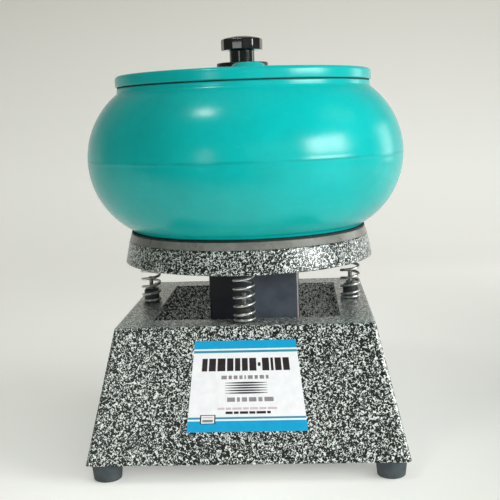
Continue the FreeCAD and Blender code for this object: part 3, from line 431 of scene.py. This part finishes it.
HAMMERTONE = hammertone("hammertone_paint", size=515.0, level_at=0.561, inside=0.085)
PAN_HAMMERTONE = hammertone("pan_hammertone", size=560.0, level_at=0.556)
PAN_SHOULDER = plain_finish("pan_bevel", srgb(112, 111, 105), srgb(130, 128, 122), (0.24, 0.34), patch=50.0,
                            Coat_Weight=0.1, Coat_Roughness=0.3)
BOWL_TEAL = moulded_teal("bowl_teal", BOWL_WIDEST_Z)
LID_TEAL = moulded_teal("lid_teal")
KNOB_BLACK = plain_finish("knob_black", srgb(14, 14, 15), srgb(24, 25, 26), (0.10, 0.20), patch=70.0,
                          grain=300.0, relief=0.00005, Coat_Weight=0.5, Coat_Roughness=0.10)
WASHER_BLACK = plain_finish("washer_black", srgb(18, 18, 20), srgb(30, 30, 33), (0.25, 0.38), patch=80.0,
                            grain=700.0)
MAT_RUBBER = plain_finish("mat_rubber", srgb(20, 21, 21), srgb(36, 36, 35), (0.62, 0.80), patch=90.0,
                          grain=1400.0, relief=0.0001)
FOOT_RUBBER = plain_finish("foot_rubber", srgb(48, 56, 60), srgb(66, 75, 79), (0.50, 0.68), patch=80.0,
                           grain=1100.0, relief=0.00008)
SPRING_STEEL = brushed("spring_steel", srgb(236, 238, 234), srgb(204, 206, 203), (0.28, 0.42), (1, 1, 0.2),
                       500.0)
ZINC = brushed("zinc_steel", srgb(196, 197, 192), srgb(120, 122, 122), (0.25, 0.40), (1, 1, 0.4))
BRIGHT_STEEL = brushed("bright_steel", srgb(205, 206, 207), srgb(165, 167, 170), (0.16, 0.28), (1, 1, 4.0))
BRASS = brushed("brass", srgb(214, 178, 96), srgb(170, 134, 66), (0.22, 0.36), (1, 1, 3.0))
CAST_ALUMINIUM = plain_finish("cast_aluminium", srgb(176, 178, 180), srgb(150, 152, 154), (0.42, 0.58), 0.9,
                              patch=90.0, grain=800.0, relief=0.00015)
WEIGHT_IRON = plain_finish("weight_iron", srgb(96, 95, 93), srgb(66, 64, 62), (0.45, 0.62), 0.85,
                           patch=60.0, grain=600.0, relief=0.00012)
SEAT_PLASTIC = plain_finish("seat_plastic", srgb(30, 33, 34), srgb(46, 49, 50), (0.42, 0.58), patch=100.0)
BLACK_PLASTIC = plain_finish("black_plastic", srgb(22, 22, 24), srgb(34, 34, 37), (0.35, 0.50), patch=90.0,
                             grain=1300.0, relief=0.00006)
BLOCK_PLASTIC = plain_finish("block_plastic", srgb(226, 222, 208), srgb(208, 203, 188), (0.40, 0.52),
                             patch=70.0)
CAN_METAL = brushed("capacitor_can", srgb(200, 202, 205), srgb(168, 170, 174), (0.24, 0.36), (4.0, 1, 1))
LAMINATED = laminated("laminated_steel", srgb(120, 121, 124), srgb(76, 76, 80), "Z", 320.0)
WINDING = laminated("winding_enamel", srgb(178, 92, 44), srgb(120, 52, 22), "DIAGONAL", 260.0)
SHROUD = shroud_paint()
LABEL_WHITE = print_ink("label_white", srgb(234, 235, 237), srgb(226, 227, 230))
LABEL_BLUE = print_ink("label_blue", srgb(0, 156, 204), srgb(0, 150, 196))
LABEL_LINE = print_ink("label_line", srgb(40, 134, 160), srgb(48, 140, 166))
LABEL_DARK = print_ink("label_dark", srgb(32, 26, 28), srgb(44, 36, 38))
LABEL_GREY = print_ink("label_grey", srgb(128, 122, 126), srgb(146, 140, 144))
LABEL_PALE = print_ink("label_pale", srgb(196, 176, 182), srgb(206, 190, 195))

CAD_FINISHES = {
    "hammertone_paint": HAMMERTONE,
    "foot_rubber": FOOT_RUBBER,
    "mat_rubber": MAT_RUBBER,
    "label": LABEL_WHITE,
    "zinc_steel": ZINC,
    "spring_steel": SPRING_STEEL,
    "seat_plastic": SEAT_PLASTIC,
    "bowl_plastic": BOWL_TEAL,
    "lid_plastic": LID_TEAL,
    "knob_plastic": KNOB_BLACK,
    "brass": BRASS,
    "shroud_paint": SHROUD,
    "cast_aluminium": CAST_ALUMINIUM,
    "laminated_steel": LAMINATED,
    "winding_enamel": WINDING,
    "bright_steel": BRIGHT_STEEL,
    "black_plastic": BLACK_PLASTIC,
    "weight_iron": WEIGHT_IRON,
    "capacitor_can": CAN_METAL,
    "block_plastic": BLOCK_PLASTIC,
}


def dress_cad_nodes():
    """Each CAD node that stays in view gets the finish of its slot in the record."""
    for entry in frame["record"]["subparts"]:
        shown = frame["nodes"][entry["node"]]
        finish = CAD_FINISHES[entry["material_slot"]]
        if not shown.material_slots:
            shown.data.materials.append(finish)
        for material_slot in shown.material_slots:
            material_slot.material = finish


# ---------------------------------------------------------------- bowl, lid and knob
def make_bowl():
    """A ring-shaped channel round a hollow column, with a fine ridge where the mould's halves met."""
    wall, ridge = 6.5, 0.22
    low_arc, high_arc = 77.0, 79.0
    foot, neck, mouth = 113.2, 121.8, 112.5
    column_top, column_cap = 312.0, 9.0
    widest, rim, floor = BOWL_WIDEST_Z, BOWL_RIM_Z, BOWL_BOTTOM_Z + wall
    low_centre, high_centre = BOWL_RADIUS - low_arc, BOWL_RADIUS - high_arc
    low_r, high_r = low_arc - ridge, high_arc - ridge

    def low_angle(height, radius):
        return -math.degrees(math.asin((widest - height) / radius))

    neck_angle = math.degrees(math.acos((neck - high_centre) / high_r))
    neck_z = widest + high_r * math.sin(math.radians(neck_angle))
    mouth_angle = math.degrees(math.acos((mouth - high_centre) / (high_arc - wall)))
    # the outside, from the column's hollow to the rim
    outline = [(50.0, BOWL_BOTTOM_Z)]
    outline += arc((110.6, BOWL_BOTTOM_Z), (112.2, BOWL_BOTTOM_Z + 0.5), (foot, BOWL_BOTTOM_Z + 1.9), 6)
    outline += round_arc(low_centre, widest, low_r, low_angle(212.4, low_r), -1.1, 36)
    outline += [(BOWL_RADIUS - 0.05, widest - 0.8), (BOWL_RADIUS - 0.05, widest + 0.8)]
    outline += round_arc(high_centre, widest, high_r, 1.1, neck_angle - 0.6, 34)
    outline += arc((122.2, neck_z + 0.1), (121.85, neck_z + 0.7), (neck, neck_z + 1.4), 4)
    outline += arc((neck, rim - 1.0), (121.5, 345.7), (120.8, rim), 4)
    # the inside, from the rim to the floor and up the column
    outline += arc((113.5, rim), (112.8, 345.7), (mouth, rim - 1.0), 4)
    outline += round_arc(high_centre, widest, high_arc - wall, mouth_angle, 0.0, 24)
    outline += round_arc(low_centre, widest, low_arc - wall, 0.0, low_angle(floor, low_arc - wall), 24)[1:]
    outline += arc((66.0, floor), (50.5, 223.4), (43.5, 238.9), 12)
    outline += arc((25.0, 307.0), (22.6, 310.6), (19.0, column_top), 6)
    outline += [(ROD_HOLE, column_top), (ROD_HOLE, column_top - column_cap), (15.5, column_top - column_cap)]
    bowl = lathe("bowl_shell", outline, [BOWL_TEAL], 224, sharp=38.0)
    stand_in(bowl, "deck", "bowl_plastic", "bowl")


def make_lid():
    """The crowned lid with its spigot, the low boss in front of the washer, and the seal under its rim."""
    flat, rim_in, edge = 27.2, 119.6, 123.1
    spigot_in, spigot_out, spigot_z = 106.5, 110.5, 339.0
    top_z, under_z, rise, steps = 357.5, 352.5, 5.1, 26

    def crown(r, base):
        share = (r - flat) / (rim_in - flat)
        return (r, base + rise * (1 - share ** 1.15))

    top = [crown(flat + (rim_in - flat) * i / steps, top_z) for i in range(steps + 1)]
    under = [crown(spigot_in + (flat - spigot_in) * i / steps, under_z) for i in range(steps + 1)]
    outline = [(ROD_HOLE, 357.6), (ROD_HOLE, LID_CROWN_Z)] + top
    outline += arc((120.1, 357.45), (122.2, 356.4), (edge, 354.2), 8)
    outline += arc((edge, 348.2), (122.8, 347.4), (122.1, LID_RIM_Z + 0.05), 4)
    outline += [(121.2, LID_RIM_Z), (spigot_out, LID_RIM_Z)]
    outline += arc((spigot_out, spigot_z + 1.0), (110.1, 339.3), (109.3, spigot_z), 3)
    outline += [(spigot_in, spigot_z)] + under
    shell = lathe("lid_shell", outline, [LID_TEAL], 224, sharp=38.0)
    stand_in(shell, "lid", "lid_plastic", "lid")
    boss_at = (8.0, -46.0)
    boss_outline = [(0.0, 358.0), (17.6, 358.0), (17.6, 360.4)]
    boss_outline += arc((17.2, 361.0), (15.9, 361.5), (15.0, 362.3), 6)
    boss_outline += arc((14.2, 363.2), (11.9, 364.6), (8.6, 365.05), 6)
    boss_outline += [(5.0, 365.1), (0.0, 365.1)]
    boss = lathe("lid_boss", boss_outline, [LID_TEAL], 96, centre=boss_at)
    stand_in(boss, "lid", "lid_plastic")
    inner, outer, soft = 113.0, 121.3, 0.3
    z0, z1 = BOWL_RIM_Z + HAIRLINE, LID_RIM_Z - HAIRLINE
    seal_outline = rounded([(outer, z0, soft), (outer, z1, soft), (inner, z1, soft), (inner, z0, soft)], 3)
    seal = lathe("lid_seal_ring", seal_outline, [MAT_RUBBER], 160)
    stand_in(seal, "lid", "mat_rubber", "lid_seal")


def make_washer():
    """The clamp washer on the lid's crown."""
    z0, z1, edge = LID_CROWN_Z + HAIRLINE, WASHER_TOP_Z, 24.7
    outline = rounded([(ROD_HOLE, z0), (edge, z0, 0.7), (edge, z1, 1.2), (ROD_HOLE, z1, 0.4)], 4)
    disc = lathe("clamp_washer_disc", outline, [WASHER_BLACK], 128)
    stand_in(disc, "lid", "knob_plastic", "clamp_washer")


def make_knob():
    """The knob: a plain stem, and a head with flats round it and a domed top."""
    bore, bore_top, stem, head, flat_from = 5.4, 384.0, 12.0, 20.0, 11.0

    def flats(radius, z, angle):
        if radius < flat_from or z < KNOB_HEAD_Z - 0.5:
            return radius
        half = math.pi / KNOB_FLATS
        off = (angle - KNOB_PHASE) % (2 * half) - half
        side = min(radius * math.cos(half) / math.cos(off), radius - 0.12)
        return radius + (side - radius) * min((radius - flat_from) / 5.0, 1.0)

    low = WASHER_TOP_Z + 0.2
    outline = [(bore, bore_top), (bore, low), (11.2, low)]
    outline += arc((11.4, low), (11.85, low + 0.2), (stem, low + 0.7), 3)
    outline += arc((stem, KNOB_HEAD_Z - 1.4), (12.35, KNOB_HEAD_Z - 0.4), (13.2, KNOB_HEAD_Z), 4)
    outline += [(15.5, KNOB_HEAD_Z), (18.6, KNOB_HEAD_Z)]
    outline += arc((19.0, KNOB_HEAD_Z + 0.05), (19.75, KNOB_HEAD_Z + 0.35), (head, KNOB_HEAD_Z + 1.0), 4)
    outline += arc((head, KNOB_TOP_Z - 4.2), (19.7, KNOB_TOP_Z - 3.35), (18.8, KNOB_TOP_Z - 2.75), 4)
    outline += arc((18.0, KNOB_TOP_Z - 2.45), (10.0, KNOB_TOP_Z - 0.75), (0.0, KNOB_TOP_Z), 12)
    outline += [(0.0, bore_top)]
    knob = lathe("knob_head", outline, [KNOB_BLACK], 288, flats, sharp=24.0)
    stand_in(knob, "knob", "knob_plastic", "knob")


def make_rod():
    """The centre rod with its real thread, one turn every 1.5 mm, and a lead-in at both ends."""
    pitch, crest, depth, segments, per_pitch = 1.5, 4.88, 0.62, 24, 4
    lead_in, chamfer = 1.2, 0.5
    z0, z1 = ROD_Z
    count = int((z1 - z0) / pitch * per_pitch)
    rings = []
    for k in range(count + 1):
        z = z0 + (z1 - z0) * k / count
        end = min(z - z0, z1 - z) / lead_in
        ring = []
        for i in range(segments):
            angle = 2 * math.pi * i / segments
            phase = (z / pitch - i / segments) % 1.0
            r = crest - depth * (1 - abs(2 * phase - 1))
            r = min(r, crest - depth + depth * min(end, 1.0)) - max(0.0, 1 - end) * chamfer
            ring.append((r * math.cos(angle), r * math.sin(angle), z))
        rings.append(ring)
    stand_in(sweep_rings("threaded_rod", rings, [ZINC]), "deck", "zinc_steel", "centre_rod")


# ---------------------------------------------------------------- pan and its mat
def make_pan():
    """The spun pan and its mat: a plain bevel round its top, a fine crease, and a skirt that flares."""
    top, shoulder, skirt, sheet = PAN_TOP_Z, PAN_SHOULDER_Z, PAN_SKIRT_Z, 2.0

    def choose(radius, z):
        return 1 if z > shoulder and radius > 113.5 else 0

    outline = [(5.2, top - sheet), (5.2, top)]
    outline += arc((113.9, top), (114.4, top - 0.15), (114.7, top - 0.6), 4)
    outline += [(116.5, shoulder + 1.0), (116.7, shoulder + 0.6)]
    outline += [(116.0, shoulder + 0.2), (116.85, shoulder - 0.3), (117.2, shoulder - 1.2)]
    outline += arc((120.9, skirt + 2.1), (121.15, skirt + 0.7), (120.3, skirt), 5)
    outline += [(119.4, skirt + 0.1), (115.0, shoulder - 0.3), (112.7, top - sheet)]
    pan = lathe("pan_tray", outline, [PAN_HAMMERTONE, PAN_SHOULDER], 224, pick=choose, sharp=50.0)
    stand_in(pan, "deck", "hammertone_paint", "pan")
    z0, z1, inner, outer = top + HAIRLINE, BOWL_BOTTOM_Z - HAIRLINE, 46.0, 114.3
    outline = rounded([(inner, z0), (outer, z0, 0.4), (outer, z1, 0.6), (inner, z1)], 4)
    stand_in(lathe("pan_mat_ring", outline, [MAT_RUBBER], 192), "deck", "mat_rubber", "pan_mat")


# ---------------------------------------------------------------- springs
def spring_rings(x, y):
    """Rings of wire up one closed-end spring, with the height of each ring's centre."""
    pitch, steps, around, near = 8.0, 30, 12, 0.02
    low, high = SPRING_Z[0] + SPRING_WIRE, SPRING_Z[1] - SPRING_WIRE
    closed = 2 * SPRING_WIRE * 1.08
    turns = round((high - low - 2 * closed) / pitch)
    total = turns + 2
    start = math.atan2(-y, -x)

    def height(turn):
        if turn < 1:
            return low + closed * turn
        if turn > total - 1:
            return high - closed * (total - turn)
        return low + closed + (high - low - 2 * closed) * (turn - 1) / turns

    rings = []
    for k in range(int(total * steps) + 1):
        turn = k / steps
        angle = start + 2 * math.pi * turn
        out = Vector((math.cos(angle), math.sin(angle), 0))
        rise = (height(min(turn + near, total)) - height(max(turn - near, 0))) / (2 * near)
        along = Vector((-math.sin(angle), math.cos(angle), rise / (2 * math.pi * SPRING_RADIUS))).normalized()
        side = along.cross(out)
        centre = Vector((x, y, height(turn))) + out * SPRING_RADIUS
        ring = []
        for i in range(around):
            a = 2 * math.pi * i / around
            ring.append(tuple(centre + (out * math.cos(a) + side * math.sin(a)) * SPRING_WIRE))
        rings.append((height(turn), ring))
    return rings


def make_springs():
    """Each spring is three lengths of one coil, cut at a third and at two thirds of the way between base and
    deck.
    """
    spots = {"front": (0, -1), "back": (0, 1), "left": (-1, 0), "right": (1, 0)}
    z0, z1 = SPRING_Z
    levels = [z0 + (z1 - z0) * i / 3 for i in range(4)]
    for name, (sx, sy) in spots.items():
        x, y = sx * SPRING_CIRCLE, sy * SPRING_CIRCLE
        rings = spring_rings(x, y)
        inner = [next(k for k, (z, _) in enumerate(rings) if z >= level) for level in levels[1:3]]
        cuts = [0] + inner + [len(rings) - 1]
        for part in range(3):
            length = [ring for _, ring in rings[cuts[part]:cuts[part + 1] + 1]]
            coil = sweep_rings("spring_%s_%d" % (name, part + 1), length, [SPRING_STEEL])
            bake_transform(coil)
            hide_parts("spring_" + name)


# ---------------------------------------------------------------- feet and label
def make_feet():
    """Tapered rubber feet under the base, each with a hole and a pocket for its screw."""
    hole, pocket, pocket_z = 2.6, 6.0, 9.0
    outline = rounded([(pocket, pocket_z), (pocket, 0.0, 0.6), (12.4, 0.0, 1.6), (14.15, 16.6, 0.9),
                       (13.2, 16.98), (hole, 16.98), (hole, pocket_z)], 5)
    spots = {"front_left": (-1, -1), "front_right": (1, -1), "back_left": (-1, 1), "back_right": (1, 1)}
    for name, (sx, sy) in spots.items():
        foot = lathe("foot_" + name + "_rubber", outline, [FOOT_RUBBER], 96,
                     centre=(sx * FOOT_CENTRE, sy * FOOT_CENTRE))
        stand_in(foot, "base", "foot_rubber", "foot_" + name)


def make_label():
    """A film label on the front wall. Its lettering is replaced with plain bars.

    Its marks are given across in shares of its half width and down in shares of its height.
    """
    z_low, z_high = 44.5, 121.6
    half_bottom, half_top = 53.15, 44.2
    film, ink_low, ink_top = 0.45, 0.42, 0.50
    middle = (z_low + z_high) / 2
    tall = (z_high - z_low) / math.cos(WALL_LEAN)
    wall_y = -(BASE_BOTTOM / 2 - (middle - FLOOR_GAP) * math.tan(WALL_LEAN))
    origin = Vector((0.8, wall_y, middle))
    across, up = Vector((1, 0, 0)), Vector((0, math.sin(WALL_LEAN), math.cos(WALL_LEAN)))
    out = Vector((0, -math.cos(WALL_LEAN), math.sin(WALL_LEAN)))
    inks = [LABEL_WHITE, LABEL_BLUE, LABEL_LINE, LABEL_DARK, LABEL_GREY, LABEL_PALE]
    white, blue, line, dark, grey, pale = range(6)
    vertices, faces, chosen = [], [], []

    def patch(corners, ink, low, high):
        """A thin closed prism over the corners, from low to high above the wall."""
        first, count = len(vertices), len(corners)
        for lift in (low, high):
            for side, down in corners:
                reach = side * (half_top + (half_bottom - half_top) * down)
                vertices.append(tuple(origin + across * reach + up * (tall * (0.5 - down)) + out * lift))
        faces.append([first + i for i in reversed(range(count))])
        faces.append([first + count + i for i in range(count)])
        for i in range(count):
            j = (i + 1) % count
            faces.append([first + i, first + j, first + count + j, first + count + i])
        chosen.extend([ink] * (count + 2))

    def bar(left, right, top, bottom, ink, lift=ink_top):
        patch([(left, bottom), (right, bottom), (right, top), (left, top)], ink, ink_low, lift)

    def row(at, gap, widths, top, bottom, ink, lift=0.48):
        for width in widths:
            bar(at, at + width, top, bottom, ink, lift)
            at += width + gap

    def stripe(level, steps=14, half=0.38):
        """A stripe that thins out to both ends."""
        upper, lower = [], []
        for i in range(steps + 1):
            s = -1 + 2 * i / steps
            thick = 0.0018 + 0.0072 * (1 - s * s) ** 1.2
            upper.append((s * half, level - thick))
            lower.append((s * half, level + thick))
        patch(lower + upper[::-1], dark, ink_low, ink_top)

    patch([(-1, 1), (1, 1), (1, 0), (-1, 0)], white, 0.0, film)
    bar(-1.0, 1.0, 0.000, 0.090, blue)
    bar(-0.995, 0.995, 0.108, 0.134, line)
    bar(-1.0, 1.0, 0.880, 1.000, blue)
    bar(-0.995, 0.995, 0.838, 0.860, line)
    letter, hyphen = (0.195, 0.335), (0.245, 0.285)
    title = [(width, letter) for width in (0.10, 0.13, 0.15, 0.12, 0.10, 0.11, 0.13)]
    title += [(0.05, hyphen)] + [(width, letter) for width in (0.13, 0.05, 0.12, 0.12)]
    at, end = -0.82, 0.82
    gap = (end - at - sum(width for width, _ in title)) / (len(title) - 1)
    for width, (top, bottom) in title:
        bar(at, at + width, top, bottom, dark)
        at += width + gap
    row(-0.45, 0.033, (0.10, 0.06, 0.07, 0.06, 0.03, 0.09, 0.06, 0.08, 0.05), 0.385, 0.425, grey)
    for level in (0.466, 0.493, 0.521, 0.549, 0.577):
        stripe(level)
    row(-0.34, 0.035, (0.14, 0.05, 0.09, 0.13, 0.07, 0.16), 0.625, 0.672, grey, 0.49)
    row(-0.50, 0.022, (0.12, 0.09, 0.16, 0.10, 0.14, 0.12, 0.16), 0.735, 0.758, pale)
    row(-0.36, 0.022, (0.12, 0.08, 0.14, 0.10, 0.16, 0.06), 0.778, 0.805, dark)
    # the small framed box at the lower left
    bar(-0.79, -0.53, 0.812, 0.912, dark, 0.52)
    bar(-0.77, -0.55, 0.820, 0.904, white, 0.54)
    bar(-0.75, -0.57, 0.832, 0.848, pale, 0.56)
    bar(-0.75, -0.57, 0.864, 0.892, grey, 0.56)
    label = mesh_object("front_label", vertices, faces, inks, chosen, 20.0)
    stand_in(label, "base", "label", "type_label")


# ---------------------------------------------------------------- stage, lights and camera
MIDDLE = (0.0, 0.0, 0.26)
WHITE = (1.0, 1.0, 1.0)


def make_stage():
    """A pale floor that curves up into a wall, which darkens upwards.

    Painted shade darkens the wall upwards, and the floor towards the camera, below the picture's edge, so that
    glossy parts mirror a darker room. Right of the object, where the most light falls, painted shade darkens it
    too.
    """
    front, bend_y, bend, top, half = -2.6, 1.1, 0.7, 3.2, 3.6
    outline = [(front, 0.0), (bend_y, 0.0)] + round_arc(bend_y, bend, bend, -90, 0, 16)[1:]
    outline += [(bend_y + bend, top)]
    vertices, faces = [], []
    for y, z in outline:
        vertices += [(-half / MM, y / MM, z / MM), (half / MM, y / MM, z / MM)]
    for k in range(len(outline) - 1):
        faces.append([2 * k, 2 * k + 1, 2 * k + 3, 2 * k + 2])
    # painted light: the paper glows with its own tones at emission strength 0.32, though it is no lamp
    material, tree, shader = start_material("stage_paper_glow_and_shade", Emission_Strength=0.32)
    axes = position(tree)
    # painted shade: the wall darkens upwards
    paper_painted_shade = mix(tree, band(tree, axes["Z"], 0.15, 1.10), srgb(240, 240, 236), srgb(160, 156, 146))
    # painted shade: the floor goes dark towards the camera
    paper_painted_shade = mix(tree, band(tree, axes["Y"], -0.75, -0.36), srgb(60, 60, 57), paper_painted_shade)
    # painted shade: darker to the right of the object, where the most light falls
    near = minus(tree, 1.0, band(tree, axes["Y"], 0.10, 0.90))
    right = times(tree, band(tree, axes["X"], 0.0, 0.36), near)
    paper_painted_shade = mix(tree, times(tree, right, 0.85), paper_painted_shade, srgb(170, 170, 166))
    tone = mix(tree, times(tree, noise(tree, 1.5, 3.0), 0.12), paper_painted_shade, srgb(214, 213, 206))
    wire(tree, shader, Base_Color=tone, Emission_Color=tone,
         Roughness=ramp(tree, noise(tree, 3.0), [(0.3, 0.6), (0.7, 0.75)]))
    mesh_object("stage_floor", vertices, faces, [material], None, 60.0)


def light_spot(azimuth, elevation, distance):
    """A place about the object's middle: azimuth runs from the front towards the right, in degrees."""
    turn, lift = math.radians(azimuth), math.radians(elevation)
    flat = distance * math.cos(lift)
    return (flat * math.sin(turn), -flat * math.cos(turn), MIDDLE[2] + distance * math.sin(lift))


def area_light(name, spot, size, watts, colour=WHITE, mirrored=True):
    """A rectangular light that looks at the object's middle. Glossy parts show it only if it is mirrored."""
    light = bpy.data.lights.new(name, "AREA")
    light.shape = "RECTANGLE"
    light.size, light.size_y = size
    light.energy = watts
    light.color = colour
    lamp = bpy.data.objects.new(name, light)
    lamp.location = light_spot(*spot)
    lamp.rotation_euler = (Vector(MIDDLE) - lamp.location).to_track_quat("-Z", "Y").to_euler()
    lamp.visible_glossy = mirrored
    bpy.context.scene.collection.objects.link(lamp)


def make_lights():
    """A wide window at the right, a small lamp high at the left, two dim cards and three soft fills.

    Glossy parts mirror all of them except the fills.
    """
    area_light("key_light", (60, 13, 1.7), (0.90, 0.52), 19.2, (0.975, 0.995, 1.0))
    area_light("fill_light", (-38, 58, 1.6), (0.26, 0.20), 3.4, (0.98, 1.0, 0.98))
    area_light("left_card", (-23, 5, 1.5), (0.22, 0.45), 1.0)
    area_light("right_card", (118, 6, 1.5), (0.40, 0.60), 2.0)
    area_light("front_fill", (20, 9, 1.65), (0.9, 0.7), 9.8, mirrored=False)
    area_light("side_fill", (85, 38, 1.6), (0.5, 0.5), 5.5, mirrored=False)
    area_light("top_fill", (-30, 80, 1.9), (1.4, 1.4), 3.5, (1.0, 1.0, 0.97), mirrored=False)
    world = bpy.data.worlds.new("studio")
    world.use_nodes = True
    background = world.node_tree.nodes["Background"]
    background.inputs["Color"].default_value = srgb(224, 228, 212)
    background.inputs["Strength"].default_value = 0.20
    bpy.context.scene.world = world
    bpy.context.scene.view_settings.view_transform = "Standard"


def make_camera():
    """The camera stands a little right of the front, looks slightly down and leans clockwise."""
    yaw, pitch, roll = 0.0579, 0.1432, 0.0356
    forward = Vector((-math.sin(yaw) * math.cos(pitch), math.cos(yaw) * math.cos(pitch), -math.sin(pitch)))
    level_right = Vector((math.cos(yaw), math.sin(yaw), 0.0))
    level_down = forward.cross(level_right)
    right = level_right * math.cos(roll) + level_down * math.sin(roll)
    down = level_down * math.cos(roll) - level_right * math.sin(roll)
    lens = bpy.data.cameras.new("camera")
    lens.sensor_width = 36.0
    lens.lens = 65.89
    lens.clip_end = 20.0
    camera = bpy.data.objects.new("camera", lens)
    turn = Matrix((right, -down, -forward)).transposed().to_4x4()
    camera.matrix_world = Matrix.Translation((0.0532, -0.9001, 0.3144)) @ turn
    bpy.context.scene.collection.objects.link(camera)
    bpy.context.scene.camera = camera


dress_cad_nodes()
make_bowl()
make_lid()
make_washer()
make_knob()
make_rod()
make_pan()
make_springs()
make_feet()
make_label()
make_stage()
make_lights()
make_camera()
